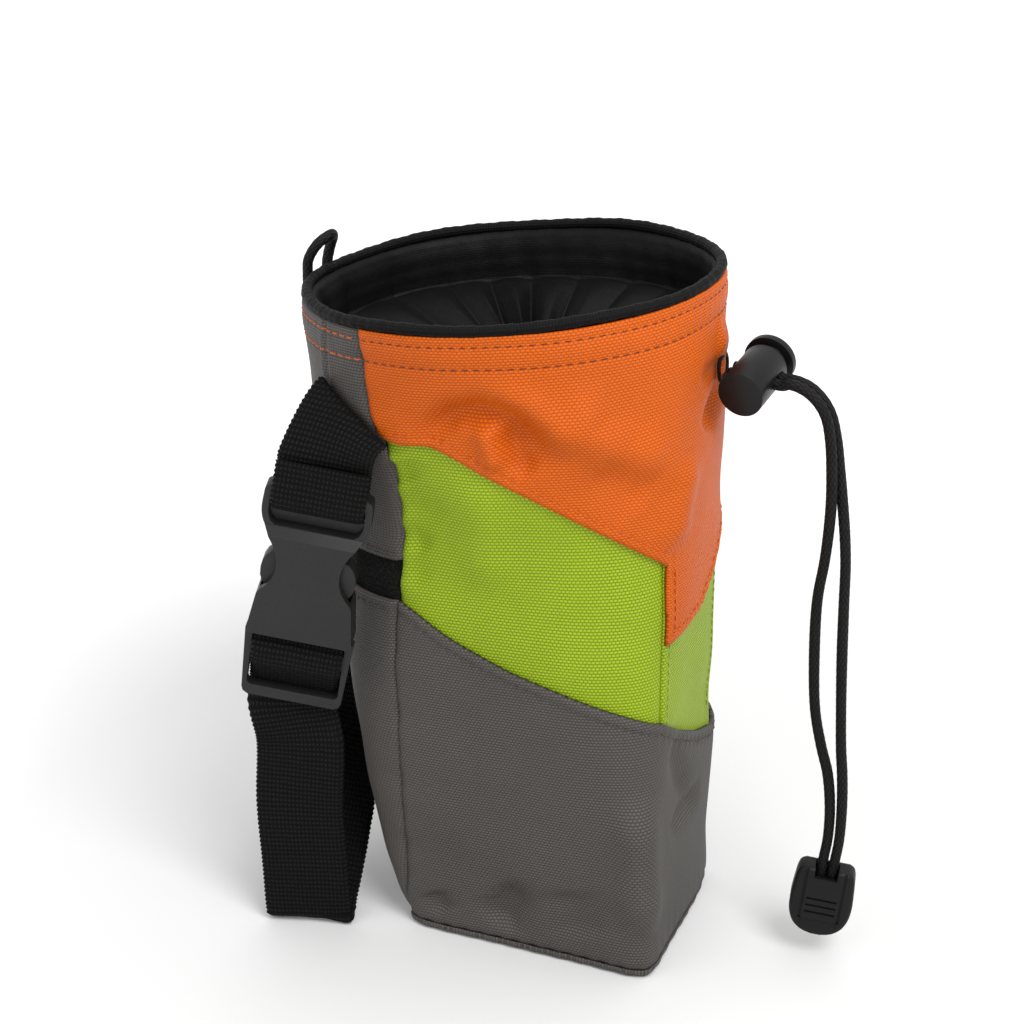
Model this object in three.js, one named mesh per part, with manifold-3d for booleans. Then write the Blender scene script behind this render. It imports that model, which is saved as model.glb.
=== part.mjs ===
// Climbing chalk bag: a cloth bucket with a drawn-in lining, a waist belt with a side-release
// buckle, and a draw cord with a sprung lock and a plastic end.
// Millimetres. +Z is up, the origin is the middle of the base on the floor, the narrow front
// panel faces -Y and the wearer's side faces +Y. Left means -X.
import * as THREE from 'three';
import { mergeVertices } from 'three/addons/utils/BufferGeometryUtils.js';
import Module from 'manifold-3d';

const wasm = await Module();
wasm.setup();

// Bag
const RIM_HEIGHT = 200;         // of the rim above the middle of the base
const RIM_SLOPE_BACK = 0.115;   // fall of the rim towards the back, mm per mm
const RIM_SLOPE_RIGHT = 0.02;   // fall of the rim towards the right
const RIM_SHIFT = -5.6;         // the mouth leans this far to the left
const MOUTH_HALF_WIDTH = 52;
const MOUTH_FRONT = 42.7;
const MOUTH_BACK = 72.7;
const BASE_HALF_WIDTH = 33.5;
const BASE_FRONT = 39;
const BASE_BACK = 39;
const BASE_SEAM_HEIGHT = 3;
const FRONT_HALF_ARC = 111;     // from the middle of the front to the side seam, along the cloth
const FRONT_PANEL_HALF = 22.5;  // from the middle of the front to the edge of the narrow panel
const CLOTH = 1.2;
const GAP = 0.3;
const LAYER_GAP = 0.8;          // between an outer panel and the inner one under its hem
const FOLD_WIDTH = 10;
const FOLD_DEPTH = 3;
const HEM_LAP = 8;              // how far the inner panels reach under a hem
const SEAM_TRIM = 0.3;          // each panel stops this far from the middle of a seam

// Places round the bag
const LEFT_SEAM = -2;
const LEFT_CORNER = -1;         // the edges of the narrow front panel
const RIGHT_CORNER = 1;
const RIGHT_SEAM = 2;
const BACK_TO_LEFT_SEAM = 4;    // the left seam again, reached round the back

// Mouth
const PIPING_RADIUS = 1.5;
const COLLAR_DEPTH = 15;
const FUNNEL_DEPTH = 29;
const FUNNEL_HOLE_RADIUS = 8;
const FUNNEL_SHIFT_FRONT = 6;
const PLEAT_COUNT = 13;
const PLEAT_DEPTH = 2.6;

// Haul loop
const HAUL_CORD_RADIUS = 1.5;
const HAUL_LOOP_HEIGHT = 9.8;
const HAUL_LOOP_LEAN = 4.6;      // the top of the loop leans this far in over the mouth

// Belt and buckle
const WEB_WIDTH = 25;
const WEB_THICKNESS = 1.6;
const BUCKLE_HALF_WIDTH = 14.8;
const BUCKLE_WAIST_HALF = 8.8;
const BUCKLE_THICKNESS = 9;
const BUCKLE_BAR_THICKNESS = 3.2;
const SOCKET_LENGTH = 47.6;
const SOCKET_BAR = 3.4;
const SOCKET_SLOT_END = 12.6;
const PLUG_FRAME_LENGTH = 22.6;
const PLUG_TONGUE_REACH = 21;
const PRONG_THICKNESS = 4.4;

// Draw cord and its fittings
const CORD_DIAMETER = 3;
const LOCK_RADIUS = 6.3;
const LOCK_LENGTH = 16.4;
const LOCK_WALL = 1.2;
const BUTTON_RADIUS = 7.1;
const BUTTON_THICKNESS = 2;
const BUTTON_TRAVEL = 2;
const LOCK_HOLE_PLACE = 10.8;   // along the lock from its closed end
const END_WIDTH = 18;
const END_LENGTH = 23;
const END_THICKNESS = 7;

// One row for each level of the bag. Height, reach and shift are shares of the named sizes:
// reach 0 is the size at the base and 1 is the size at the mouth.
// columns: height, width, front, back, side flatness, end flatness, shift
const LEVELS = [
  [0.00, 0.000, 0.00, 0.00, 12.0, 12.0, 0.00],
  [0.08, 0.027, -0.14, 0.19, 10.0, 8.0, 0.00],
  [0.25, 0.108, -0.27, 0.45, 7.0, 5.0, 0.00],
  [0.45, 0.189, 0.14, 0.64, 4.6, 3.2, 0.18],
  [0.65, 0.324, 0.54, 0.68, 3.2, 2.5, 0.36],
  [0.82, 0.719, 1.08, 0.92, 2.4, 2.1, 0.71],
  [1.00, 1.000, 1.00, 1.00, 2.0, 2.0, 1.00],
];

// Folds and dents, each a straight soft ridge or valley on the cloth.
// columns: place and height at one end, place and height at the other end, width, depth.
// Places are shares of FRONT_HALF_ARC, heights are shares of the height, depth is out if positive.
const FOLDS = [
  [0.32, 0.00, 0.36, 0.12, 1.40, -1.60],
  [-0.95, 0.855, -0.88, 0.83, 0.70, 0.80],
  [-0.80, 0.825, -0.70, 0.880, 0.60, -0.80],
  [-0.70, 0.880, -0.49, 0.835, 0.60, -0.70],
  [-0.49, 0.835, -0.30, 0.765, 0.70, -0.50],
  [-0.58, 0.890, -0.24, 0.730, 0.60, 0.50],
  [-0.86, 0.790, -0.84, 0.700, 0.70, -0.60],
  [-0.66, 0.090, -0.68, 0.020, 0.60, -0.60],
  [-0.33, 0.250, -0.28, 0.040, 0.70, 0.45],
  [-0.15, 0.190, 0.09, 0.182, 0.60, -0.50],
  [-0.15, 0.790, -0.20, 0.640, 0.60, 0.45],
  [0.00, 0.905, 0.10, 0.905, 0.70, 0.50],
  [0.02, 0.820, 0.10, 0.815, 0.60, -0.50],
];

// The side seam, as shares of FRONT_HALF_ARC. columns: height, place
const SIDE_SEAM = [
  [0.00, 0.973], [0.10, 0.950], [0.30, 0.941], [0.50, 0.931], [0.60, 0.905],
  [0.66, 0.896], [0.80, 0.928], [0.88, 0.982], [1.00, 1.000],
];

// Hems, from the left seam round the front to the right seam. columns: place, height
const ORANGE_HEM = [
  [-2.00, 0.832], [-1.93, 0.824], [-1.82, 0.827], [-1.78, 0.821], [-1.71, 0.801],
  [-1.55, 0.763], [-1.38, 0.721], [-1.20, 0.677], [-1.004, 0.625], [-0.99, 0.502],
  [0.00, 0.512], [0.45, 0.545], [1.00, 0.610], [1.35, 0.670], [1.70, 0.760], [2.00, 0.832],
];
const GREY_HEM = [
  [-2.00, 0.557], [-1.94, 0.544], [-1.80, 0.508], [-1.56, 0.464], [-1.33, 0.433],
  [-1.16, 0.408], [-1.00, 0.380], [-0.40, 0.335], [0.30, 0.292], [1.00, 0.262],
  [1.35, 0.310], [1.70, 0.400], [2.00, 0.500],
];
const POCKET_HEM = 0.556;
const BACK_PANEL_HEM = 0.624;
const TAPE_LAP = 0.03;

function between(from, to, share) {
  return from + (to - from) * share;
}

// Smooth curve through a table's column, with no overshoot between its rows.
function smoothColumn(rows, column, place) {
  const count = rows.length;
  const slopes = [];
  for (let i = 0; i < count - 1; i += 1) {
    slopes.push((rows[i + 1][column] - rows[i][column]) / (rows[i + 1][0] - rows[i][0]));
  }
  const tangents = rows.map((row, i) => {
    if (i === 0) return slopes[0];
    if (i === count - 1) return slopes[count - 2];
    if (slopes[i - 1] * slopes[i] <= 0) return 0;
    const before = rows[i][0] - rows[i - 1][0];
    const after = rows[i + 1][0] - rows[i][0];
    const weightBefore = 2 * after + before;
    const weightAfter = after + 2 * before;
    return (weightBefore + weightAfter) / (weightBefore / slopes[i - 1] + weightAfter / slopes[i]);
  });
  let i = 0;
  while (i < count - 2 && place > rows[i + 1][0]) i += 1;
  const step = rows[i + 1][0] - rows[i][0];
  const u = THREE.MathUtils.clamp((place - rows[i][0]) / step, 0, 1);
  const v = 1 - u;
  return rows[i][column] * (1 + 2 * u) * v * v + tangents[i] * step * u * v * v
    + rows[i + 1][column] * u * u * (3 - 2 * u) - tangents[i + 1] * step * u * u * v;
}

function straightColumn(rows, column, place) {
  let i = 0;
  while (i < rows.length - 2 && place > rows[i + 1][0]) i += 1;
  const share = THREE.MathUtils.clamp((place - rows[i][0]) / (rows[i + 1][0] - rows[i][0]), 0, 1);
  return between(rows[i][column], rows[i + 1][column], share);
}

// The outline of the bag at one level, from the middle of the front round towards +X,
// with the length along the cloth at each point.
const OUTLINE_STEPS = 480;
const outlines = new Map();
function outlineAt(height) {
  const key = height.toFixed(4);
  if (outlines.has(key)) return outlines.get(key);
  const halfWidth = between(BASE_HALF_WIDTH, MOUTH_HALF_WIDTH, smoothColumn(LEVELS, 1, height));
  const front = between(BASE_FRONT, MOUTH_FRONT, smoothColumn(LEVELS, 2, height));
  const back = between(BASE_BACK, MOUTH_BACK, smoothColumn(LEVELS, 3, height));
  const sidePower = 2 / smoothColumn(LEVELS, 4, height);
  const endPower = 2 / smoothColumn(LEVELS, 5, height);
  const shift = RIM_SHIFT * smoothColumn(LEVELS, 6, height);
  const points = [];
  const lengths = [];
  for (let i = 0; i <= OUTLINE_STEPS; i += 1) {
    const angle = (i / OUTLINE_STEPS) * 2 * Math.PI - Math.PI / 2;
    const across = Math.cos(angle);
    const along = Math.sin(angle);
    const x = shift + halfWidth * Math.sign(across) * Math.abs(across) ** sidePower;
    const y = (back - front) / 2 + ((back + front) / 2) * Math.sign(along) * Math.abs(along) ** endPower;
    const point = new THREE.Vector2(x, y);
    lengths.push(i === 0 ? 0 : lengths[i - 1] + point.distanceTo(points[i - 1]));
    points.push(point);
  }
  const outline = { points, lengths, total: lengths[OUTLINE_STEPS] };
  outlines.set(key, outline);
  return outline;
}

function outlinePoint(outline, arc) {
  const length = THREE.MathUtils.euclideanModulo(arc, outline.total);
  let low = 0;
  let high = OUTLINE_STEPS;
  while (high - low > 1) {
    const middle = (low + high) >> 1;
    if (outline.lengths[middle] <= length) low = middle;
    else high = middle;
  }
  const span = outline.lengths[high] - outline.lengths[low];
  const share = span > 0 ? (length - outline.lengths[low]) / span : 0;
  return outline.points[low].clone().lerp(outline.points[high], share);
}

function foldDepth(arc, height) {
  const spot = new THREE.Vector2(arc, height * RIM_HEIGHT);
  let depth = 0;
  for (const [place0, height0, place1, height1, width, out] of FOLDS) {
    const start = new THREE.Vector2(place0 * FRONT_HALF_ARC, height0 * RIM_HEIGHT);
    const line = new THREE.Vector2(place1 * FRONT_HALF_ARC, height1 * RIM_HEIGHT).sub(start);
    const share = THREE.MathUtils.clamp(spot.clone().sub(start).dot(line) / line.lengthSq(), 0, 1);
    const distance = spot.distanceTo(start.addScaledVector(line, share));
    depth += out * FOLD_DEPTH * Math.exp(-((distance / (width * FOLD_WIDTH)) ** 2));
  }
  return depth;
}

// A point of the cloth's outer side: arc along the cloth from the middle of the front, height
// share, and how far out of that side it lies.
function bagPoint(arc, height, out = 0) {
  const outline = outlineAt(height);
  const point = outlinePoint(outline, arc);
  const reach = 1;
  const ahead = outlinePoint(outline, arc + reach).sub(outlinePoint(outline, arc - reach)).normalize();
  const signed = THREE.MathUtils.euclideanModulo(arc + outline.total / 2, outline.total) - outline.total / 2;
  const depth = out + foldDepth(signed, height);
  const x = point.x + ahead.y * depth;
  const y = point.y - ahead.x * depth;
  const rim = RIM_HEIGHT - RIM_SLOPE_BACK * y - RIM_SLOPE_RIGHT * x;
  return new THREE.Vector3(x, y, between(BASE_SEAM_HEIGHT, rim, height));
}

// Arc of a place round the bag. Height shares are of the full height.
function arcOfPlace(place, height) {
  const seam = FRONT_HALF_ARC * smoothColumn(SIDE_SEAM, 1, height);
  if (place > RIGHT_SEAM) {
    const share = (place - RIGHT_SEAM) / (BACK_TO_LEFT_SEAM - RIGHT_SEAM);
    return between(seam, outlineAt(height).total - seam, share);
  }
  const side = Math.abs(place);
  if (side <= RIGHT_CORNER) return place * FRONT_PANEL_HALF;
  return Math.sign(place) * between(FRONT_PANEL_HALF, seam, side - RIGHT_CORNER);
}

function solidFromTriangles(positions, triangles) {
  const geometry = new THREE.BufferGeometry();
  const numbers = positions.flatMap((point) => point.toArray());
  geometry.setAttribute('position', new THREE.Float32BufferAttribute(numbers, 3));
  geometry.setIndex(triangles);
  return geometry;
}

// The points that lie the given thickness behind a grid of points, square to its surface.
// joined says that the last column meets the first.
function gridBehind(grid, thickness, joined) {
  const columns = grid.length;
  const rows = grid[0].length;
  const wrap = (i) => (joined ? (i + columns) % columns : THREE.MathUtils.clamp(i, 0, columns - 1));
  const at = (i, j) => grid[wrap(i)][THREE.MathUtils.clamp(j, 0, rows - 1)];
  return grid.map((column, i) => column.map((point, j) => {
    const along = at(i + 1, j).clone().sub(at(i - 1, j));
    const up = at(i, j + 1).clone().sub(at(i, j - 1));
    return point.clone().addScaledVector(along.cross(up).normalize(), -thickness);
  }));
}

// A closed sheet between a front grid of points and a back one. The first index runs along
// and the second up, as seen from the front. joined ties the last column to the first.
function sheetSolid(frontGrid, backGrid, joined = false) {
  const columns = frontGrid.length;
  const rows = frontGrid[0].length;
  const positions = [...frontGrid.flat(), ...backGrid.flat()];
  const back = columns * rows;
  const index = (i, j) => (i % columns) * rows + j;
  const triangles = [];
  const quad = (a, b, c, d) => triangles.push(a, b, c, a, c, d);
  const spans = joined ? columns : columns - 1;
  for (let i = 0; i < spans; i += 1) {
    for (let j = 0; j < rows - 1; j += 1) {
      const corners = [index(i, j), index(i + 1, j), index(i + 1, j + 1), index(i, j + 1)];
      quad(...corners);
      quad(...corners.map((corner) => corner + back).reverse());
    }
    quad(index(i, 0), index(i, 0) + back, index(i + 1, 0) + back, index(i + 1, 0));
    quad(
      index(i, rows - 1), index(i + 1, rows - 1),
      index(i + 1, rows - 1) + back, index(i, rows - 1) + back,
    );
  }
  if (!joined) {
    for (let j = 0; j < rows - 1; j += 1) {
      const last = columns - 1;
      quad(index(0, j), index(0, j + 1), index(0, j + 1) + back, index(0, j) + back);
      quad(index(last, j), index(last, j) + back, index(last, j + 1) + back, index(last, j + 1));
    }
  }
  return solidFromTriangles(positions, triangles);
}

// Places of the panels' columns, shared by the two layers so that their faces run in parallel.
const PLACE_STEP = 0.125;
const HEM_STOPS = [...ORANGE_HEM, ...GREY_HEM].map((row) => row[0]);
function placesBetween(from, to) {
  const places = HEM_STOPS.filter((stop) => stop > from && stop < to);
  const count = Math.round((to - from) / PLACE_STEP);
  for (let i = 0; i <= count; i += 1) {
    const place = between(from, to, i / count);
    const tooClose = places.some((stop) => Math.abs(stop - place) < PLACE_STEP / 2.5);
    if (i === 0 || i === count || !tooClose) places.push(place);
  }
  return [...new Set(places)].sort((a, b) => a - b);
}

// A cloth panel of the bag between two places and two hems. The hems are functions of the
// place that give a height share. out is how far its outer side lies out of the bag's.
function panel({ from, to, low, high, out = 0, rows }) {
  const places = placesBetween(from, to);
  const gridAt = (depth) => places.map((place) => {
    const bottom = low(place);
    const top = high(place);
    const trim = place === from ? SEAM_TRIM : place === to ? -SEAM_TRIM : 0;
    return Array.from({ length: rows + 1 }, (_, j) => {
      const height = between(bottom, top, j / rows);
      return bagPoint(arcOfPlace(place, height) + trim, height, depth);
    });
  });
  return sheetSolid(gridAt(out), gridAt(out - CLOTH));
}

// Joins rings of points, each with the same count, into a closed solid with flat ends.
// The rings run anticlockwise as seen from the last ring's side.
function ringSolid(rings, joined = false) {
  const count = rings[0].length;
  const positions = rings.flat();
  const triangles = [];
  const spans = joined ? rings.length : rings.length - 1;
  for (let k = 0; k < spans; k += 1) {
    const here = k * count;
    const next = ((k + 1) % rings.length) * count;
    for (let i = 0; i < count; i += 1) {
      const j = (i + 1) % count;
      triangles.push(here + i, here + j, next + j, here + i, next + j, next + i);
    }
  }
  if (!joined) {
    capRing(rings[0], 0, true, triangles);
    capRing(rings[rings.length - 1], (rings.length - 1) * count, false, triangles);
  }
  return solidFromTriangles(positions, triangles);
}

function capRing(ring, offset, reversed, triangles) {
  const normal = new THREE.Vector3();
  ring.forEach((point, i) => normal.add(point.clone().cross(ring[(i + 1) % ring.length])));
  normal.normalize();
  const helper = Math.abs(normal.z) < 0.9 ? new THREE.Vector3(0, 0, 1) : new THREE.Vector3(1, 0, 0);
  const right = helper.clone().cross(normal).normalize();
  const up = normal.clone().cross(right);
  const flat = ring.map((point) => new THREE.Vector2(point.dot(right), point.dot(up)));
  for (const face of THREE.ShapeUtils.triangulateShape(flat, [])) {
    const order = reversed ? [face[0], face[2], face[1]] : face;
    triangles.push(...order.map((i) => i + offset));
  }
}

// Boolean help: a closed geometry as a solid, and back.
function toSolid(geometry) {
  const bare = geometry.clone();
  bare.deleteAttribute('normal');
  bare.deleteAttribute('uv');
  const merged = mergeVertices(bare);
  return new wasm.Manifold(new wasm.Mesh({
    numProp: 3,
    vertProperties: new Float32Array(merged.attributes.position.array),
    triVerts: new Uint32Array(merged.index.array),
  }));
}

function toGeometry(solid) {
  const mesh = solid.getMesh();
  const geometry = new THREE.BufferGeometry();
  geometry.setAttribute('position', new THREE.BufferAttribute(mesh.vertProperties, 3));
  geometry.setIndex(new THREE.BufferAttribute(mesh.triVerts, 1));
  return geometry;
}

const chalkBag = new THREE.Group();

function addPiece(name, geometry, color, roughness) {
  const material = new THREE.MeshStandardMaterial({ color, roughness, metalness: 0 });
  const mesh = new THREE.Mesh(geometry, material);
  mesh.name = name;
  chalkBag.add(mesh);
  return mesh;
}

const ORANGE = 0xf0721f;
const GREEN = 0x9db82b;
const GREY = 0x6f6a67;
const BLACK_CLOTH = 0x141414;
const BLACK_PLASTIC = 0x1c1c1e;

// Cloth walls
const rimEdge = 1 - (PIPING_RADIUS + GAP) / RIM_HEIGHT;
const innerOut = -(CLOTH + LAYER_GAP);
const lap = HEM_LAP / RIM_HEIGHT;
const orangeHem = (place) => straightColumn(ORANGE_HEM, 1, place);
const greyHem = (place) => straightColumn(GREY_HEM, 1, place);

addPiece('orange_panel', panel({
  from: LEFT_SEAM, to: RIGHT_SEAM, low: orangeHem, high: () => rimEdge, rows: 7,
}), ORANGE, 0.75);
addPiece('grey_panel', panel({
  from: LEFT_SEAM, to: RIGHT_SEAM, low: () => 0, high: greyHem, rows: 7,
}), GREY, 0.8);

const greenPanels = [
  ['green_side_left', LEFT_SEAM, LEFT_CORNER],
  ['green_front', LEFT_CORNER, RIGHT_CORNER],
  ['green_side_right', RIGHT_CORNER, RIGHT_SEAM],
];
for (const [name, from, to] of greenPanels) {
  const middle = (place) => THREE.MathUtils.clamp(place, from + 0.005, to - 0.015);
  addPiece(name, panel({
    from,
    to,
    low: (place) => greyHem(middle(place)) - lap,
    high: (place) => orangeHem(middle(place)) + lap,
    out: innerOut,
    rows: 10,
  }), GREEN, 0.7);
}

addPiece('back_panel', panel({
  from: RIGHT_SEAM, to: BACK_TO_LEFT_SEAM, low: () => BACK_PANEL_HEM, high: () => rimEdge, rows: 8,
}), GREY, 0.8);
addPiece('pocket_panel', panel({
  from: RIGHT_SEAM, to: BACK_TO_LEFT_SEAM, low: () => 0, high: () => POCKET_HEM, rows: 7,
}), GREY, 0.8);
addPiece('pocket_tape', panel({
  from: RIGHT_SEAM,
  to: BACK_TO_LEFT_SEAM,
  low: () => POCKET_HEM - TAPE_LAP,
  high: () => BACK_PANEL_HEM + TAPE_LAP,
  out: innerOut,
  rows: 2,
}), BLACK_CLOTH, 0.95);

// Base, a shallow dish whose edge turns up to the seam. A ring is drawn in towards the middle
// by its inset.
const BASE_RING_STEPS = 56;
const BASE_EDGE = 0.6;
function baseRing(inset, z) {
  const total = outlineAt(0).total;
  return Array.from({ length: BASE_RING_STEPS }, (_, i) => {
    const { x, y } = bagPoint((i / BASE_RING_STEPS) * total, 0, -GAP);
    const edge = new THREE.Vector2(x, y);
    edge.setLength(edge.length() - inset);
    return new THREE.Vector3(edge.x, edge.y, z);
  });
}
const baseEdgeTop = BASE_SEAM_HEIGHT - GAP;
addPiece('base_panel', ringSolid([
  baseRing(BASE_SEAM_HEIGHT - BASE_EDGE - GAP, 0),
  baseRing(0, baseEdgeTop - BASE_EDGE),
  baseRing(0, baseEdgeTop),
  baseRing(CLOTH, baseEdgeTop),
  baseRing(BASE_SEAM_HEIGHT + CLOTH - GAP, CLOTH),
]), GREY, 0.85);

// Binding along the rim
const RIM_STEPS = 48;
const PIPING_SIDES = 6;
function rimPoint(share, out, drop) {
  const point = bagPoint(share * outlineAt(1).total, 1, out);
  point.z -= drop;
  return point;
}
function pipingRing(share) {
  return Array.from({ length: PIPING_SIDES }, (_, k) => {
    const angle = (k / PIPING_SIDES) * 2 * Math.PI;
    return rimPoint(share, -PIPING_RADIUS * (1 - Math.cos(angle)), PIPING_RADIUS * Math.sin(angle));
  });
}
const pipingRings = Array.from({ length: RIM_STEPS }, (_, i) => pipingRing(i / RIM_STEPS));
addPiece('rim_piping', ringSolid(pipingRings, true), BLACK_CLOTH, 0.9);

// Lining at the mouth: a collar inside the wall, then a funnel in pleats round a small hole.
// Their columns run down from the rim, so the front of each sheet faces into the mouth.
const collarOut = -(2 * PIPING_RADIUS + GAP + CLOTH);
const collarTopDrop = PIPING_RADIUS * 0.6;
const CLOSURE_STEPS = PLEAT_COUNT * 4;
const FUNNEL_ROWS = 4;
const collarShare = COLLAR_DEPTH / RIM_HEIGHT;
function collarEdge(turn) {
  return bagPoint(turn * outlineAt(1 - collarShare).total, 1 - collarShare, collarOut);
}
function collarColumn(turn) {
  const top = rimPoint(turn, collarOut, collarTopDrop);
  const edge = collarEdge(turn);
  return [top, top.clone().lerp(edge, 0.5), edge];
}
function funnelColumn(turn) {
  const collar = collarEdge(turn);
  const middle = new THREE.Vector2(RIM_SHIFT, (MOUTH_BACK - MOUTH_FRONT) / 2 - FUNNEL_SHIFT_FRONT);
  const angle = Math.atan2(collar.y - middle.y, collar.x - middle.x);
  const holeHeight = RIM_HEIGHT - RIM_SLOPE_BACK * middle.y - FUNNEL_DEPTH;
  const hole = new THREE.Vector3(
    middle.x + FUNNEL_HOLE_RADIUS * Math.cos(angle),
    middle.y + FUNNEL_HOLE_RADIUS * Math.sin(angle),
    holeHeight,
  );
  const start = collar.clone().lerp(hole, (2 * GAP) / collar.distanceTo(hole));
  const pleat = Math.sin(turn * PLEAT_COUNT * 2 * Math.PI) * PLEAT_DEPTH;
  return Array.from({ length: FUNNEL_ROWS + 1 }, (_, j) => {
    const share = j / FUNNEL_ROWS;
    const point = start.clone().lerp(hole, share);
    point.z += pleat * Math.sin(Math.PI * Math.min(share, 0.85));
    return point;
  });
}
for (const [name, columnAt] of [['lining_collar', collarColumn], ['closure', funnelColumn]]) {
  const grid = Array.from({ length: CLOSURE_STEPS }, (_, i) => columnAt(i / CLOSURE_STEPS));
  addPiece(name, sheetSolid(grid, gridBehind(grid, CLOTH, true), true), BLACK_CLOTH, 0.9);
}

// A flat band through stations. Each holds the middle of the band, the direction of its
// width and the direction that its front side faces.
function bandSolid(stations, width, thickness) {
  const rings = stations.map(({ middle, across, facing }) => {
    const side = across.clone().multiplyScalar(width / 2);
    const front = facing.clone().multiplyScalar(thickness / 2);
    return [
      middle.clone().sub(side).sub(front),
      middle.clone().add(side).sub(front),
      middle.clone().add(side).add(front),
      middle.clone().sub(side).add(front),
    ];
  });
  return ringSolid(rings);
}

// Stations along a smooth curve. Rows: x, y, z of the middle, then x, y, z of the width.
function bandStations(rows, steps) {
  const points = rows.map((row) => new THREE.Vector3(...row.slice(0, 3)));
  const curve = new THREE.CatmullRomCurve3(points, false, 'centripetal');
  return Array.from({ length: steps + 1 }, (_, i) => {
    const share = i / steps;
    const middle = curve.getPoint(share);
    const tangent = curve.getTangent(share);
    const place = share * (rows.length - 1);
    const row = Math.min(Math.floor(place), rows.length - 2);
    const from = new THREE.Vector3(...rows[row].slice(3, 6));
    const to = new THREE.Vector3(...rows[row + 1].slice(3, 6));
    const ease = THREE.MathUtils.smoothstep(place - row, 0, 1);
    const across = from.lerp(to, ease);
    across.addScaledVector(tangent, -across.dot(tangent)).normalize();
    const facing = tangent.clone().cross(across).normalize();
    return { middle, across, facing };
  });
}

// Where the belt's ends are sewn on
const ANCHOR_GAP = 0.5;
const ANCHOR_ARC = 126;          // of both belt ends, from the middle of the front
const ANCHOR_TOP = 0.906;
const ANCHOR_BOTTOM = 0.784;
const UP = [0, 0, 1];
function anchorPoint(arc, share) {
  const height = between(ANCHOR_TOP, ANCHOR_BOTTOM, share);
  return bagPoint(arc, height, ANCHOR_GAP + WEB_THICKNESS / 2);
}
function outwardAt(arc) {
  const height = between(ANCHOR_TOP, ANCHOR_BOTTOM, 0.5);
  return bagPoint(arc, height, 10).sub(bagPoint(arc, height)).setZ(0).normalize();
}

// Buckle frame: along runs down the buckle, facing points out of its front, across completes it.
// Its top hangs below the left end of the belt.
const leftAnchorArc = -ANCHOR_ARC;
const buckleTop = anchorPoint(leftAnchorArc, 0.5).add(new THREE.Vector3(-11, -3.6, -16.5));
const buckleAlong = new THREE.Vector3(0.055, 0.2, -0.979).normalize();
const buckleFacing = new THREE.Vector3(-0.951, -0.287, -0.113);
buckleFacing.addScaledVector(buckleAlong, -buckleFacing.dot(buckleAlong)).normalize();
const buckleAcross = buckleAlong.clone().cross(buckleFacing).normalize();
function onBuckle(across, along, facing) {
  return buckleTop.clone()
    .addScaledVector(buckleAcross, across)
    .addScaledVector(buckleAlong, along)
    .addScaledVector(buckleFacing, facing);
}
const buckleTurn = new THREE.Matrix4()
  .makeBasis(buckleAcross, buckleAlong, buckleFacing)
  .setPosition(buckleTop);

function plate(shape, thickness) {
  const options = { depth: thickness, bevelEnabled: false, curveSegments: 6 };
  const geometry = new THREE.ExtrudeGeometry(shape, options);
  return geometry.translate(0, 0, -thickness / 2);
}

function boxBetween(x0, y0, z0, x1, y1, z1) {
  const geometry = new THREE.BoxGeometry(x1 - x0, y1 - y0, z1 - z0);
  return geometry.translate((x0 + x1) / 2, (y0 + y1) / 2, (z0 + z1) / 2);
}

// A shape that is the same on both sides of its middle line. Rows: half width, place along.
function mirroredShape(rows) {
  const right = rows.map(([half, along]) => new THREE.Vector2(half, along));
  const left = rows.map(([half, along]) => new THREE.Vector2(-half, along)).reverse();
  return new THREE.Shape(right.concat(left));
}

const SLOT_CLEARANCE = 0.5;
const CAVITY_WALL = 2.2;
const CAVITY_START = 19;
const slotHalf = WEB_WIDTH / 2 + SLOT_CLEARANCE;
const cavityHalf = BUCKLE_HALF_WIDTH - CAVITY_WALL;
const prongHalf = PRONG_THICKNESS / 2;
const socketShape = mirroredShape([
  [BUCKLE_HALF_WIDTH - 1.4, 0],
  [BUCKLE_HALF_WIDTH - 0.2, 1.6],
  [BUCKLE_HALF_WIDTH, 9],
  [BUCKLE_HALF_WIDTH - 2.2, 14],
  [BUCKLE_WAIST_HALF + 0.9, 18],
  [BUCKLE_WAIST_HALF, 23],
  [BUCKLE_WAIST_HALF + 0.3, 28],
  [BUCKLE_WAIST_HALF + 1.4, 31.5],
  [BUCKLE_HALF_WIDTH - 2.8, 33.5],
  [BUCKLE_HALF_WIDTH - 1.2, 36],
  [BUCKLE_HALF_WIDTH, SOCKET_LENGTH],
]);
const loopThickness = 4.6;
const CUT_REACH = 20;            // the cutting boxes reach past every side
let socket = toSolid(plate(socketShape, BUCKLE_THICKNESS));
const loopRelief = (BUCKLE_THICKNESS - loopThickness) / 2;
for (const side of [-1, 1]) {
  const near = side * (loopThickness / 2);
  const far = side * (BUCKLE_THICKNESS / 2 + 1);
  const relief = boxBetween(
    -CUT_REACH, -1, Math.min(near, far), CUT_REACH, SOCKET_SLOT_END + loopRelief, Math.max(near, far));
  socket = socket.subtract(toSolid(relief));
}
const loopSlot = boxBetween(-slotHalf, SOCKET_BAR, -CUT_REACH, slotHalf, SOCKET_SLOT_END, CUT_REACH);
const plugCavity = boxBetween(
  -cavityHalf, CAVITY_START, -prongHalf - GAP, cavityHalf, SOCKET_LENGTH + 1, prongHalf + GAP);
socket = socket.subtract(toSolid(loopSlot)).subtract(toSolid(plugCavity));
addPiece('buckle_socket', toGeometry(socket).applyMatrix4(buckleTurn), BLACK_PLASTIC, 0.45);

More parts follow.
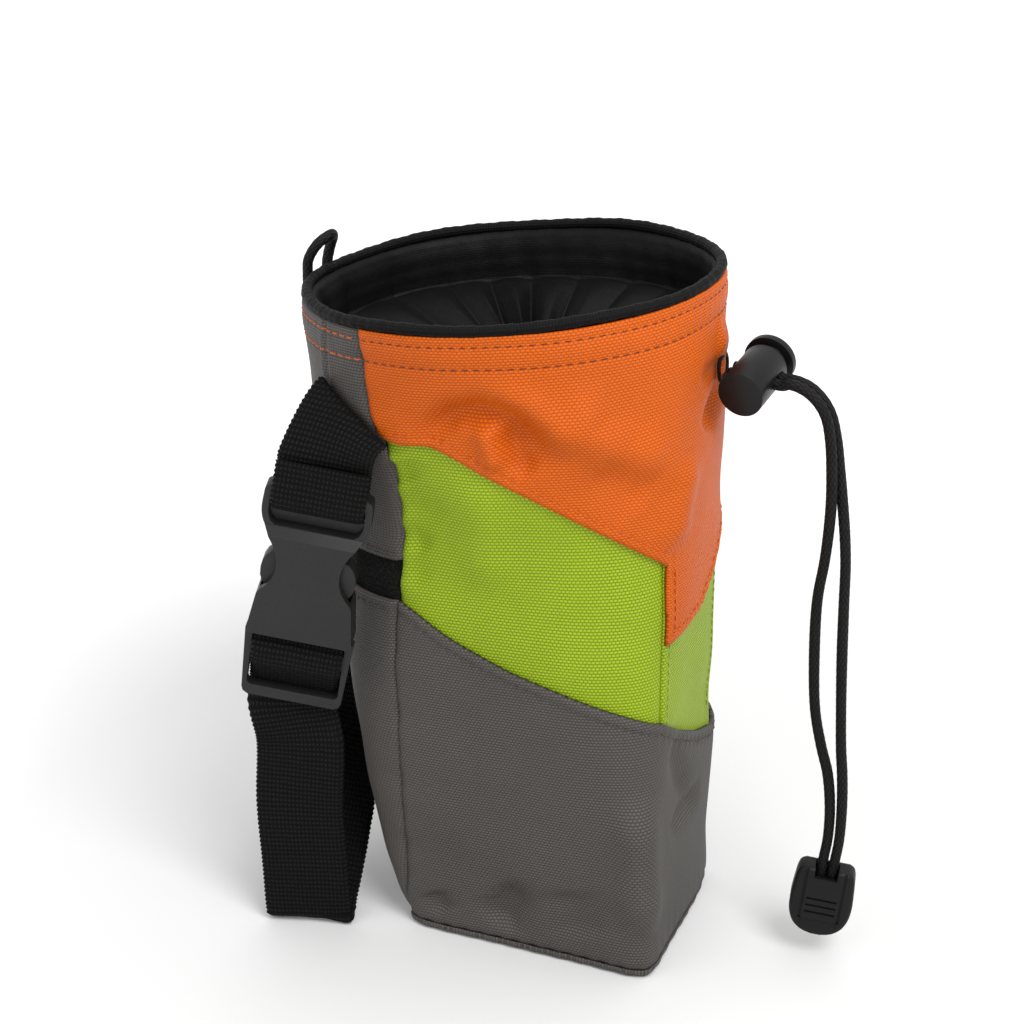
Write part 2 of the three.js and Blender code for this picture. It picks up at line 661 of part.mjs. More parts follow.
// Plug: a frame with a bar for the webbing, a tongue and two prongs that show at the waist
const frameTop = SOCKET_LENGTH + GAP;
const frameEnd = frameTop + PLUG_FRAME_LENGTH;
const frameHalf = BUCKLE_HALF_WIDTH + 0.4;
const PLUG_TAPER = 1;
const frameEndHalf = frameHalf - PLUG_TAPER;
const frameShape = mirroredShape([
  [frameHalf, frameTop], [frameEndHalf, frameEnd - 1.5], [frameEndHalf - 1.5, frameEnd],
]);
const PLUG_SLOT = 4.4;
const PLUG_BAR = 4.6;
const PLUG_CROSS_BAR = 3.4;
const PLUG_RIM = 0.2;
const barStart = frameTop + PLUG_SLOT;
const barEnd = barStart + PLUG_BAR;
const crossStart = frameEnd - PLUG_CROSS_BAR;
const plugBase = cavityHalf - GAP;
let plug = toSolid(plate(frameShape, BUCKLE_BAR_THICKNESS));
plug = plug.add(toSolid(
  boxBetween(-plugBase, SOCKET_LENGTH - 4.5, -prongHalf, plugBase, frameTop + 0.5, prongHalf)));
plug = plug.subtract(toSolid(
  boxBetween(-slotHalf, frameTop + PLUG_RIM, -CUT_REACH, slotHalf, barStart, CUT_REACH)));
plug = plug.subtract(toSolid(
  boxBetween(-slotHalf, barEnd, -CUT_REACH, slotHalf, crossStart, CUT_REACH)));
plug = plug.add(toSolid(
  boxBetween(-2.5, PLUG_TONGUE_REACH + 3, -prongHalf, 2.5, SOCKET_LENGTH - 4, prongHalf)));
const prongShape = (side) => new THREE.Shape([
  [6.6, 43.4], [6.6, 36], [7.6, 30], [7.4, PLUG_TONGUE_REACH + 0.5], [9.4, PLUG_TONGUE_REACH],
  [11.9, 22.6], [13.1, 26.2], [12.9, 29.4], [11.6, 32], [10.2, 34.2], [9.6, 38], [9.6, 43.4],
].map(([x, y]) => new THREE.Vector2(side * x, y)));
for (const side of [-1, 1]) {
  plug = plug.add(toSolid(plate(prongShape(side), PRONG_THICKNESS)));
}
addPiece('buckle_plug', toGeometry(plug).applyMatrix4(buckleTurn), BLACK_PLASTIC, 0.45);

// Belt webbing. Near the buckle the route is in the buckle's frame: along, facing.
const webClear = BUCKLE_BAR_THICKNESS / 2 + GAP + WEB_THICKNESS / 2;
function buckleRows(places) {
  return places.map(([along, facing]) => [
    ...onBuckle(0, along, facing).toArray(), ...buckleAcross.toArray(),
  ]);
}

// Upper belt: from the upright seam it runs forward along the wall, folds over on a slanted
// line, comes down to the buckle, goes round the bar and ends on its own front.
// Rows: along, facing in the buckle's frame.
const UPPER_ROUTE = [
  [-9, -0.2], [-4.5, -2.1], [0, -3.55], [4.6, -3.45], [7.2, -1.2], [7.2, 1.2],
  [4.6, 3.45], [0, 3.55], [-3.5, 2.7], [-7.5, 2.1],
];
const BELT_FOLD_ARC = 101.5;     // the low end of the fold, from the middle of the front
const BELT_FOLD_BOTTOM = 0.825;
const FOLD_RISE = 1.3;           // from one layer's middle to the tip of the fold
const leftOutward = outwardAt(leftAnchorArc);
function upperEdgeLine(share) {
  const layerOut = ANCHOR_GAP + WEB_THICKNESS / 2;
  const foldArc = between(leftAnchorArc, -BELT_FOLD_ARC, share);
  const foldHeight = between(ANCHOR_TOP, BELT_FOLD_BOTTOM, share);
  const seamHeight = between(ANCHOR_TOP, ANCHOR_BOTTOM, share);
  const seam = anchorPoint(leftAnchorArc, share);
  const under = bagPoint(between(leftAnchorArc, foldArc, 0.6), between(seamHeight, foldHeight, 0.6), layerOut);
  const tip = bagPoint(foldArc + FOLD_RISE / 2, foldHeight, layerOut + FOLD_RISE);
  const onStrap = UPPER_ROUTE.map(([along, facing]) => (
    onBuckle(between(WEB_WIDTH / 2, -WEB_WIDTH / 2, share), along, facing)));
  const over = tip.clone().lerp(onStrap[0], 0.25).addScaledVector(leftOutward, FOLD_RISE);
  return new THREE.CatmullRomCurve3([seam, under, tip, over, ...onStrap], false, 'centripetal');
}
const UPPER_STEPS = 39;
const UPPER_WIDTH_STEPS = 4;
const upperLines = Array.from(
  { length: UPPER_WIDTH_STEPS + 1 },
  (_, j) => upperEdgeLine(j / UPPER_WIDTH_STEPS),
);
const upperGrid = Array.from({ length: UPPER_STEPS + 1 }, (_, i) => (
  upperLines.map((line) => line.getPoint(i / UPPER_STEPS))));
const upperFront = gridBehind(upperGrid, -WEB_THICKNESS / 2, false);
const upperBack = gridBehind(upperGrid, WEB_THICKNESS / 2, false);
addPiece('strap_upper', sheetSolid(upperFront, upperBack), BLACK_CLOTH, 0.85);

// Draw cord lock: an open barrel with a cross hole, and a sprung button in it
const lockStart = new THREE.Vector3(-10.6, -51.3, 175.2);
const lockAxis = new THREE.Vector3(0.978, -0.114, 0.173).normalize();
const lockOut = new THREE.Vector3(-0.1, -0.99, -0.06);
lockOut.addScaledVector(lockAxis, -lockOut.dot(lockAxis)).normalize();
const lockUp = lockOut.clone().cross(lockAxis).normalize();
// The lock's own frame: x out through the cross hole, y up, z along its axis.
const lockTurn = new THREE.Matrix4()
  .makeBasis(lockOut, lockUp.clone().negate(), lockAxis)
  .setPosition(lockStart);
function rod(radius, from, to, sides = 24) {
  const geometry = new THREE.CylinderGeometry(radius, radius, to - from, sides);
  return geometry.rotateX(Math.PI / 2).translate(0, 0, (from + to) / 2);
}
const LOCK_FLOOR = 2;
const STEM_CLEARANCE = 0.2;
const STRAND_GAP = 0.3;
const pairHalf = (CORD_DIAMETER + STRAND_GAP) / 2;
const holeHalfLong = pairHalf + CORD_DIAMETER / 2 + GAP;
const holeHalfHigh = CORD_DIAMETER / 2 + GAP;
const boreRadius = LOCK_RADIUS - LOCK_WALL;
const stemRadius = boreRadius - STEM_CLEARANCE;
const holeBox = (extra) => boxBetween(
  -CUT_REACH, -holeHalfHigh, LOCK_HOLE_PLACE - holeHalfLong,
  CUT_REACH, holeHalfHigh, LOCK_HOLE_PLACE + holeHalfLong + extra);
const barrel = toSolid(rod(LOCK_RADIUS, 0, LOCK_LENGTH))
  .subtract(toSolid(rod(boreRadius, LOCK_FLOOR, LOCK_LENGTH + 1)))
  .subtract(toSolid(holeBox(0)));
addPiece('cord_lock_barrel', toGeometry(barrel).applyMatrix4(lockTurn), BLACK_PLASTIC, 0.4);
const buttonFace = LOCK_LENGTH + BUTTON_TRAVEL + GAP;
const stemStart = LOCK_FLOOR + BUTTON_TRAVEL + GAP;
const button = toSolid(rod(stemRadius, stemStart, buttonFace + 0.5))
  .add(toSolid(rod(BUTTON_RADIUS, buttonFace, buttonFace + BUTTON_THICKNESS)))
  .subtract(toSolid(holeBox(BUTTON_TRAVEL)));
addPiece('cord_lock_button', toGeometry(button).applyMatrix4(lockTurn), BLACK_PLASTIC, 0.4);

// Eyelet: a flat oval ring on the cloth, where both strands come out
const pairMiddle = new THREE.Vector3(0, 0, LOCK_HOLE_PLACE).applyMatrix4(lockTurn);
function onLockLine(distance) {
  return pairMiddle.clone().addScaledVector(lockOut, distance);
}
const EYELET_HEIGHT = 0.866;
const EYELET_ARC = onLockLine(-8).x - RIM_SHIFT * smoothColumn(LEVELS, 6, EYELET_HEIGHT);
const EYELET_THICKNESS = 0.8;
const EYELET_RIM = 1.4;
function oval(halfLong, halfHigh) {
  const shape = new THREE.Shape();
  const straight = halfLong - halfHigh;
  shape.moveTo(-straight, -halfHigh);
  shape.lineTo(straight, -halfHigh);
  shape.absarc(straight, 0, halfHigh, -Math.PI / 2, Math.PI / 2, false);
  shape.lineTo(-straight, halfHigh);
  shape.absarc(-straight, 0, halfHigh, Math.PI / 2, 1.5 * Math.PI, false);
  return shape;
}
const eyeletMiddle = bagPoint(EYELET_ARC, EYELET_HEIGHT, 2.7 * GAP);
const eyeletOut = eyeletMiddle.clone().sub(bagPoint(EYELET_ARC, EYELET_HEIGHT, -1)).normalize();
const eyeletRight = new THREE.Vector3(0, 0, 1).cross(eyeletOut).normalize();
const eyeletUp = eyeletOut.clone().cross(eyeletRight).normalize();
const eyeletHalfLong = holeHalfLong + 0.6;
const eyeletHalfHigh = holeHalfHigh + 0.6;
const eyeletShape = oval(eyeletHalfLong + EYELET_RIM, eyeletHalfHigh + EYELET_RIM);
eyeletShape.holes.push(new THREE.Path(oval(eyeletHalfLong, eyeletHalfHigh).getPoints(6)));
const eyelet = new THREE.ExtrudeGeometry(eyeletShape, {
  depth: EYELET_THICKNESS, bevelEnabled: false, curveSegments: 6,
}).applyMatrix4(new THREE.Matrix4().makeBasis(eyeletRight, eyeletUp, eyeletOut).setPosition(eyeletMiddle));
addPiece('cord_eyelet', eyelet, BLACK_CLOTH, 0.8);

// Draw cord: straight out of the eyelet through the lock, over in a small bow and down to
// the end. Rows: middle of the pair x, y, z, then how far each strand lies from it in x, y.
const CORD_ROUTE = [
  [-1.0, -62.4, 177.0, 1.65, 0.1],
  [-1.2, -66.8, 175.9, 1.65, 0.1],
  [-1.3, -70.4, 173.1, 1.65, 0.1],
  [-1.3, -72.9, 169.2, 1.65, 0.2],
  [-1.2, -74.6, 162.5, 1.6, 0.4],
  [-1.0, -75.7, 153.5, 1.5, 0.7],
  [-1.0, -76.5, 145.0, 1.2, 1.2],
  [-1.0, -77.0, 136.0, 0.8, 2.0],
  [-1.0, -77.1, 127.0, 0.4, 2.8],
  [-1.0, -76.6, 115.0, 0.0, 3.7],
  [-1.0, -76.9, 98.0, 0.0, 3.9],
  [-1.0, -77.9, 81.0, 0.0, 3.7],
  [-1.0, -79.4, 70.0, 0.0, 2.9],
  [-1.0, -81.1, 61.0, 0.0, 2.1],
  [-1.0, -82.0, 50.0, 0.0, 1.72],
  [-1.0, -81.9, 40.0, 0.0, 1.66],
];
const END_TOP = new THREE.Vector3(-1, -80.9, 31.2);
const endUp = new THREE.Vector3(0, -0.11, 0.994).normalize();
const endFacing = new THREE.Vector3(-0.98, -0.198, 0);
endFacing.addScaledVector(endUp, -endFacing.dot(endUp)).normalize();
const endAcross = endUp.clone().cross(endFacing).normalize();
const endTurn = new THREE.Matrix4().makeBasis(endAcross, endUp, endFacing).setPosition(END_TOP);
const END_RECESS = 4;
function strandPoints(side) {
  const points = [-7.2, -3, 1, 5, 8].map((distance) => onLockLine(distance)
    .addScaledVector(lockAxis, -side * pairHalf));
  for (const [x, y, z, apartX, apartY] of CORD_ROUTE) {
    points.push(new THREE.Vector3(x - side * apartX, y + side * apartY, z));
  }
  for (const height of [2.5, GAP - END_RECESS]) {
    points.push(new THREE.Vector3(-side * pairHalf, height, 0).applyMatrix4(endTurn));
  }
  return points;
}
const CORD_SIDES = 8;
const CORD_STEPS = 38;
function cordTube(points, radius, steps) {
  const circle = new THREE.Shape(Array.from({ length: CORD_SIDES }, (_, i) => {
    const angle = (i / CORD_SIDES) * 2 * Math.PI;
    return new THREE.Vector2(radius * Math.cos(angle), radius * Math.sin(angle));
  }));
  const extrudePath = new THREE.CatmullRomCurve3(points, false, 'centripetal');
  return new THREE.ExtrudeGeometry(circle, { steps, extrudePath, bevelEnabled: false });
}
addPiece('drawcord_near', cordTube(strandPoints(1), CORD_DIAMETER / 2, CORD_STEPS), BLACK_CLOTH, 0.85);
addPiece('drawcord_far', cordTube(strandPoints(-1), CORD_DIAMETER / 2, CORD_STEPS), BLACK_CLOTH, 0.85);

// Cord end: a shield with a recess at the top for both strands
const endShape = mirroredShape([
  [END_WIDTH * 0.36, 0], [END_WIDTH * 0.45, -1.6], [END_WIDTH * 0.5, -END_LENGTH * 0.55],
  [END_WIDTH * 0.47, -END_LENGTH * 0.72], [END_WIDTH * 0.36, -END_LENGTH * 0.88],
  [END_WIDTH * 0.18, -END_LENGTH * 0.98],
].reverse());
const recess = boxBetween(
  -holeHalfLong, -END_RECESS, -holeHalfHigh, holeHalfLong, 5, holeHalfHigh);
const cordEnd = toSolid(plate(endShape, END_THICKNESS)).subtract(toSolid(recess));
addPiece('cord_end', toGeometry(cordEnd).applyMatrix4(endTurn), BLACK_PLASTIC, 0.5);

// Haul loop: a bight of cord whose feet stand against the wall near the middle of the back.
// columns: side, share of the height, share of the lean
const HAUL_FOOT_ARC = 5;
const HAUL_FOOT_DEPTH = 6;
const HAUL_SIDE = 2;             // the loop stands this far to the right of the middle
const HAUL_ROUTE = [[-1, 0, 0], [-1.1, 0.45, 0.15], [-0.8, 0.85, 0.65], [0, 1, 1]];
const haulOut = HAUL_CORD_RADIUS + GAP + 0.4;
const haulArc = outlineAt(1).total / 2 - HAUL_SIDE;
function haulPoint(arc, rise, lean) {
  const point = bagPoint(haulArc + arc, 1, haulOut - lean);
  point.z += rise;
  return point;
}
const haulFoot = (side) => haulPoint(side * HAUL_FOOT_ARC, -HAUL_FOOT_DEPTH, 0);
const haulRise = HAUL_ROUTE.map(([side, height, lean]) => (
  haulPoint(side * HAUL_FOOT_ARC, height * HAUL_LOOP_HEIGHT, lean * HAUL_LOOP_LEAN)));
const haulFall = HAUL_ROUTE.slice(0, -1).reverse().map(([side, height, lean]) => (
  haulPoint(-side * HAUL_FOOT_ARC, height * HAUL_LOOP_HEIGHT, lean * HAUL_LOOP_LEAN)));
const haulPoints = [haulFoot(-1), ...haulRise, ...haulFall, haulFoot(1)];
addPiece('haul_loop', cordTube(haulPoints, HAUL_CORD_RADIUS, 18), BLACK_CLOTH, 0.85);

// Lower belt: round the plug's bar, down to the floor, up again behind the bag and to the
// right side seam
const BELT_TAIL = 3;             // the belt's loose end stops this far short of the plug's end
const tailFacing = -(webClear + WEB_THICKNESS + 0.7);
const rightAnchor = bagPoint(ANCHOR_ARC, between(ANCHOR_TOP, ANCHOR_BOTTOM, 0.5), ANCHOR_GAP);
const rightTurn = rightAnchor.clone().addScaledVector(outwardAt(ANCHOR_ARC), 5);
const slotMiddle = (frameTop + PLUG_RIM + barStart) / 2 + 0.2;
const barMiddle = (barStart + barEnd) / 2;
const outerSlotMiddle = (barEnd + crossStart) / 2;
const floorWidth = [-0.289, 0.957, 0];
// columns: x, y, share of the height, then x, y, z of the width
const BELT_ROUTE = [
  [-44.9, 64.6, 0.32, ...floorWidth],
  [-44.6, 65.8, 0.21, ...floorWidth],
  [-43.8, 65.4, 0.10, ...floorWidth],
  [-43.4, 65.2, 0.03, ...floorWidth],
  [-42.8, 65.2, 0.0125, ...floorWidth],
  [-41.0, 65.4, 0.009, ...floorWidth],
  [-39.4, 65.5, 0.0125, ...floorWidth],
  [-36.8, 66.1, 0.027, ...floorWidth],
  [-30, 67, 0.065, -0.40, 0.91, 0.05],
  [-20, 68, 0.125, -0.62, 0.78, 0.10],
  [-10, 68, 0.20, -0.85, 0.50, 0.20],
  [0, 67.5, 0.275, -0.90, 0.25, 0.35],
  [11, 67.5, 0.38, -0.88, 0.10, 0.46],
  [21, 69, 0.50, -0.82, -0.02, 0.57],
  [29, 72, 0.64, -0.65, -0.08, 0.75],
  [37, 71, 0.765, -0.45, -0.10, 0.88],
];
const lowerRows = [
  ...buckleRows([
    [frameEnd - BELT_TAIL, tailFacing], [barEnd + 3, tailFacing],
    [barStart + 1, tailFacing + 0.5], [slotMiddle, -1.6], [slotMiddle + 0.1, 1],
    [barStart + 0.8, webClear + 0.25], [barMiddle, webClear + 0.4], [barEnd + 0.4, webClear - 0.1],
    [outerSlotMiddle - 1.6, 0.5], [crossStart - 1.4, -1.9], [crossStart + 1, -webClear - 0.2],
    [frameEnd + 3, -webClear - 0.1],
  ]),
  ...BELT_ROUTE.map(([x, y, share, ...width]) => [x, y, share * RIM_HEIGHT, ...width]),
  [...rightTurn.toArray(), -0.1, -0.05, 0.99],
  [...rightAnchor.toArray(), ...UP],
];
addPiece('strap_lower', bandSolid(bandStations(lowerRows, 87), WEB_WIDTH, WEB_THICKNESS), BLACK_CLOTH, 0.85);

export default chalkBag;
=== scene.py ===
# Climbing chalk bag: panelled oxford cloth, pleated black lining, webbing belt with a
# side-release buckle, and a braided draw cord with a lock and an end piece.
# Sizes are in millimetres until a mesh is made, in the same frame as the solids.
import math

import bpy
import numpy as np
from mathutils import Matrix, Vector


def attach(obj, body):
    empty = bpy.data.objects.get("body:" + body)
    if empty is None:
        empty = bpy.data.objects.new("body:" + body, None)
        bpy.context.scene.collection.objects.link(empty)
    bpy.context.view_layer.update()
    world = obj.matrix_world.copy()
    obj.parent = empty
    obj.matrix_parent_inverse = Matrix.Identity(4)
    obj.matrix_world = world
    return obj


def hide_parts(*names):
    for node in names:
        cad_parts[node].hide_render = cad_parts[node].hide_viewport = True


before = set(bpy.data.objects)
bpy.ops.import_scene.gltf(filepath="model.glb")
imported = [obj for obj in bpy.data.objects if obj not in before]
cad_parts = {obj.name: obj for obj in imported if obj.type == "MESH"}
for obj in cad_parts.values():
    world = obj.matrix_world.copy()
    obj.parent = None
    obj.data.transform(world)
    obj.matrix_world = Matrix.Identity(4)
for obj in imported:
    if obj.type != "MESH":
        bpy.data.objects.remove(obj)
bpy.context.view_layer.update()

MM = 0.001
RIM_HEIGHT = 200.0
RIM_SLOPE_BACK = 0.115
RIM_SLOPE_RIGHT = 0.02
RIM_SHIFT = -5.6
BASE_SEAM_HEIGHT = 3.0
FRONT_HALF_ARC = 111.0
FRONT_PANEL_HALF = 22.5
CLOTH = 1.2
INNER_OUT = -1.5
PIPING_RADIUS = 1.5

# Outline of the bag, level by level: height share, half width, front, back, side flatness,
# end flatness, shift to the right.
LEVELS = np.array([
    (0.00, 33.5, 39.0, 39.0, 12.0, 12.0, 0.0),
    (0.08, 34.0, 38.5, 45.5, 10.0, 8.0, 0.0),
    (0.25, 35.5, 38.0, 54.0, 7.0, 5.0, 0.0),
    (0.45, 37.0, 39.5, 60.5, 4.6, 3.2, -1.0),
    (0.65, 39.5, 41.0, 62.0, 3.2, 2.5, -2.0),
    (0.82, 46.8, 43.0, 70.0, 2.4, 2.1, -4.0),
    (1.00, 52.0, 42.7, 72.7, 2.0, 2.0, -5.6),
])
SIDE_SEAM = np.array([
    (0.00, 0.973), (0.10, 0.950), (0.30, 0.941), (0.50, 0.931), (0.60, 0.905),
    (0.66, 0.896), (0.80, 0.928), (0.88, 0.982), (1.00, 1.000),
])
ORANGE_HEM = np.array([
    (-2.00, 0.832), (-1.93, 0.824), (-1.82, 0.827), (-1.78, 0.821), (-1.71, 0.801),
    (-1.55, 0.763), (-1.38, 0.721), (-1.20, 0.677), (-1.004, 0.625), (-0.99, 0.502),
    (0.00, 0.512), (0.45, 0.545), (1.00, 0.610), (1.35, 0.670), (1.70, 0.760), (2.00, 0.832),
])
GREY_HEM = np.array([
    (-2.00, 0.557), (-1.94, 0.544), (-1.80, 0.508), (-1.56, 0.464), (-1.33, 0.433),
    (-1.16, 0.408), (-1.00, 0.380), (-0.40, 0.335), (0.30, 0.292), (1.00, 0.262),
    (1.35, 0.310), (1.70, 0.400), (2.00, 0.500),
])
POCKET_HEM = 0.556
BACK_PANEL_HEM = 0.624

# Creases in the cloth: points as arc and height share, then width and depth (out is positive)
CREASES = [
    ([(36, 0.0), (40, 0.12)], 14, -4.5),
    ([(-96, 0.822), (-93, 0.83), (-87.9, 0.858), (-82.9, 0.877), (-75.5, 0.886), (-70.8, 0.884),
      (-67.3, 0.875), (-63.2, 0.854), (-59.5, 0.828), (-52, 0.790)], 4.0, -5.3),
    ([(-74.3, 0.872), (-72.7, 0.83), (-70.2, 0.79)], 3.2, 2.8),
    ([(-69.8, 0.868), (-67.5, 0.845), (-65.4, 0.815), (-60, 0.785)], 3.4, -3.8),
    ([(-78, 0.915), (-68.2, 0.902), (-61.9, 0.885), (-55.4, 0.852), (-49.5, 0.815)], 4.7, 2.4),
    ([(-47.5, 0.93), (-48.5, 0.849), (-38.8, 0.808), (-27.1, 0.773), (-22.5, 0.74)], 6.1, 3.1),
    ([(-46, 0.80), (-34, 0.765), (-28, 0.735)], 6.7, -2.4),
    ([(-107, 0.875), (-103.1, 0.853), (-99.7, 0.842), (-93.7, 0.832)], 6.3, 0.5),
    ([(-16, 0.79), (-19, 0.717), (-22, 0.633)], 5.7, 2.8),
    ([(6.5, 0.845), (-2.1, 0.817), (-6.2, 0.785)], 4.2, -3.4),
    ([(8, 0.872), (-4.6, 0.872), (-12, 0.884)], 3.3, -2.2),
    ([(9, 0.905), (-1, 0.905)], 5.7, 1.6),
    ([(-82.3, 0.80), (-76.8, 0.729), (-74.3, 0.646), (-76.0, 0.575)], 7.6, 2.2),
    ([(-100, 0.80), (-99.5, 0.775), (-97, 0.755)], 5.7, -1.8),
    ([(-104, 0.735), (-97, 0.722), (-86, 0.700)], 5.7, -0.9),
    ([(-100.5, 0.685), (-97.2, 0.671), (-92, 0.64)], 3.8, -1.6),
    ([(-100.2, 0.636), (-93, 0.59)], 4.7, -0.8),
    ([(-18.5, 0.345), (-14.1, 0.326), (-6, 0.25), (1.7, 0.19)], 4.7, -2.4),
    ([(-17, 0.187), (-3, 0.182), (12, 0.184)], 3.8, -2.4),
    ([(-30, 0.29), (-33, 0.23), (-33, 0.13), (-29, 0.04)], 6.1, 3.8),
    ([(-77, 0.10), (-72, 0.075), (-78, 0.014)], 5.7, -3.4),
    ([(-98, 0.06), (-94, 0.02)], 4.7, -2.2),
    ([(-55, 0.12), (-50, 0.03)], 8.6, -1.9),
    ([(130, 0.80), (150, 0.74), (170, 0.70)], 8.6, -4.1),
    ([(128, 0.50), (150, 0.42), (172, 0.40)], 9.5, -3.8),
    ([(150, 0.20), (165, 0.10)], 8.6, -3.1),
    ([(100, 0.86), (82, 0.80), (60, 0.83)], 6.7, -3.8),
    ([(96, 0.70), (84, 0.62)], 6.7, -2.8),
    ([(60, 0.30), (72, 0.18)], 7.6, -2.4),
]


def unit(vectors):
    vectors = np.asarray(vectors, float)
    return vectors / np.maximum(np.linalg.norm(vectors, axis=-1, keepdims=True), 1e-12)


def bell(distance, width):
    return np.exp(-(distance / width) ** 2)


def run_lengths(points):
    """Length along a line of points, up to each of them."""
    return np.r_[0, np.cumsum(np.linalg.norm(np.diff(points, axis=0), axis=1))]


def at_lengths(places, lengths, points):
    return np.stack([np.interp(places, lengths, points[:, k]) for k in range(3)], 1)


def full_turn(count):
    return np.arange(count) / count * 2 * math.pi


def signed_arc(arc, total):
    return np.mod(arc + total / 2, total) - total / 2


def smooth_column(rows, column, place):
    """Smooth curve through a table's column, with no overshoot between its rows."""
    xs, ys = rows[:, 0], rows[:, column]
    steps = np.diff(xs)
    slopes = np.diff(ys) / steps
    tangents = np.zeros_like(ys)
    for i in range(1, len(xs) - 1):
        if slopes[i - 1] * slopes[i] > 0:
            before = 2 * steps[i] + steps[i - 1]
            after = steps[i] + 2 * steps[i - 1]
            tangents[i] = (before + after) / (before / slopes[i - 1] + after / slopes[i])
    tangents[0], tangents[-1] = slopes[0], slopes[-1]
    i = np.clip(np.searchsorted(xs, place, side="right") - 1, 0, len(steps) - 1)
    u = np.clip((place - xs[i]) / steps[i], 0, 1)
    v = 1 - u
    return (ys[i] * (1 + 2 * u) * v * v + tangents[i] * steps[i] * u * v * v
            + ys[i + 1] * u * u * (3 - 2 * u) - tangents[i + 1] * steps[i] * u * u * v)


LEVEL_COUNT = 301
ARC_COUNT = 1200


def outline_table():
    heights = np.linspace(0, 1, LEVEL_COUNT)
    columns = [smooth_column(LEVELS, k, heights) for k in range(1, 7)]
    angles = np.linspace(-0.5 * math.pi, 1.5 * math.pi, 2881)
    across, along = np.cos(angles), np.sin(angles)
    table = np.zeros((LEVEL_COUNT, ARC_COUNT + 1, 2))
    totals = np.zeros(LEVEL_COUNT)
    for k, (half, front, back, side, end, shift) in enumerate(zip(*columns)):
        x = shift + half * np.sign(across) * np.abs(across) ** (2 / side)
        y = (back - front) / 2 + (back + front) / 2 * np.sign(along) * np.abs(along) ** (2 / end)
        lengths = np.r_[0, np.cumsum(np.hypot(np.diff(x), np.diff(y)))]
        totals[k] = lengths[-1]
        arcs = np.linspace(0, lengths[-1], ARC_COUNT + 1)
        table[k, :, 0] = np.interp(arcs, lengths, x)
        table[k, :, 1] = np.interp(arcs, lengths, y)
    return table, totals


OUTLINES, TOTALS = outline_table()


def line_distance(a, v, points, taper=False):
    """Distance on the laid-out cloth from a line, and 1 falling to 0 at the line's ends."""
    points = np.asarray(points, float)
    spans = np.diff(points, axis=0)
    lengths = np.hypot(spans[:, 0], spans[:, 1])
    starts = np.r_[0, np.cumsum(lengths)]
    best = np.full(np.shape(a), 1e9)
    where = np.zeros(np.shape(a))
    for (x, y), (dx, dy), length, start in zip(points, spans, lengths, starts):
        share = np.clip(((a - x) * dx + (v - y) * dy) / length ** 2, 0, 1)
        distance = np.hypot(a - x - share * dx, v - y - share * dy)
        closer = distance < best
        best = np.where(closer, distance, best)
        where = np.where(closer, start + share * length, where)
    if not taper:
        return best
    ends = np.minimum(where, starts[-1] - where) / (0.3 * starts[-1])
    ends = np.clip(ends, 0, 1)
    return best, ends * ends * (3 - 2 * ends)


def crease_depth(arc, height):
    depth = np.zeros(np.shape(arc))
    for index, (points, width, out) in enumerate(CREASES):
        line = [(a, h * RIM_HEIGHT) for a, h in points]
        distance, ends = line_distance(arc, height * RIM_HEIGHT, line, taper=True)
        if index == 0:
            ends = 1.0
        depth += out * ends * bell(distance, width)
    ripple = (np.sin(arc / 13.0 + 3.1 * np.sin(height * 7.0)) * np.sin(height * 19.0 + arc / 31.0)
              + 0.6 * np.sin(arc / 7.3 + height * 23.0) * np.sin(height * 31.0 - arc / 17.0))
    return depth + 0.34 * ripple


def total_at(height):
    return np.interp(height, np.linspace(0, 1, LEVEL_COUNT), TOTALS)


def surface(arc, height, out=0.0):
    """Points of the cloth's outer side, moved out by the given depth."""
    arc, height, out = np.broadcast_arrays(np.asarray(arc, float), height, out)
    level = np.clip(height, 0, 1) * (LEVEL_COUNT - 1)
    k = np.minimum(level.astype(int), LEVEL_COUNT - 2)
    w = (level - k)[..., None]
    total = total_at(np.clip(height, 0, 1))

    def plan(a):
        u = np.mod(a / total, 1) * ARC_COUNT
        i = np.minimum(u.astype(int), ARC_COUNT - 1)
        f = (u - i)[..., None]
        low = OUTLINES[k, i] * (1 - f) + OUTLINES[k, i + 1] * f
        high = OUTLINES[k + 1, i] * (1 - f) + OUTLINES[k + 1, i + 1] * f
        return low * (1 - w) + high * w

    flat = plan(arc)
    ahead = unit(plan(arc + 1.0) - plan(arc - 1.0))
    signed = signed_arc(arc, total)
    depth = out + crease_depth(signed, height)
    x = flat[..., 0] + ahead[..., 1] * depth
    y = flat[..., 1] - ahead[..., 0] * depth
    rim = RIM_HEIGHT - RIM_SLOPE_BACK * y - RIM_SLOPE_RIGHT * x
    z = BASE_SEAM_HEIGHT + (rim - BASE_SEAM_HEIGHT) * height
    return np.stack([x, y, z], -1)


def seam_arc(height):
    return FRONT_HALF_ARC * smooth_column(SIDE_SEAM, 1, np.clip(height, 0, 1))


def arc_of_place(place, height):
    place, height = np.broadcast_arrays(np.asarray(place, float), height)
    seam = seam_arc(height)
    side = np.abs(place)
    front = place * FRONT_PANEL_HALF
    beside = np.sign(place) * (FRONT_PANEL_HALF + (seam - FRONT_PANEL_HALF) * (side - 1))
    behind = seam + (total_at(height) - 2 * seam) * (place - 2) / 2
    return np.where(place > 2, behind, np.where(side <= 1, front, beside))


def soft_hem(rows, reach, keep):
    """A hem whose small corners are rounded, except round one place."""
    dense = np.linspace(-2, 2, 1601)
    values = np.interp(dense, rows[:, 0], rows[:, 1])
    window = np.hanning(2 * int(reach / 0.0025) + 1)
    window /= window.sum()
    padded = np.pad(values, len(window) // 2, mode="edge")
    rounded = np.convolve(padded, window, mode="valid")
    blend = np.clip((np.abs(dense - keep) - 0.06) / 0.08, 0, 1)
    values = values * (1 - blend) + rounded * blend
    return lambda place: np.interp(place, dense, values)


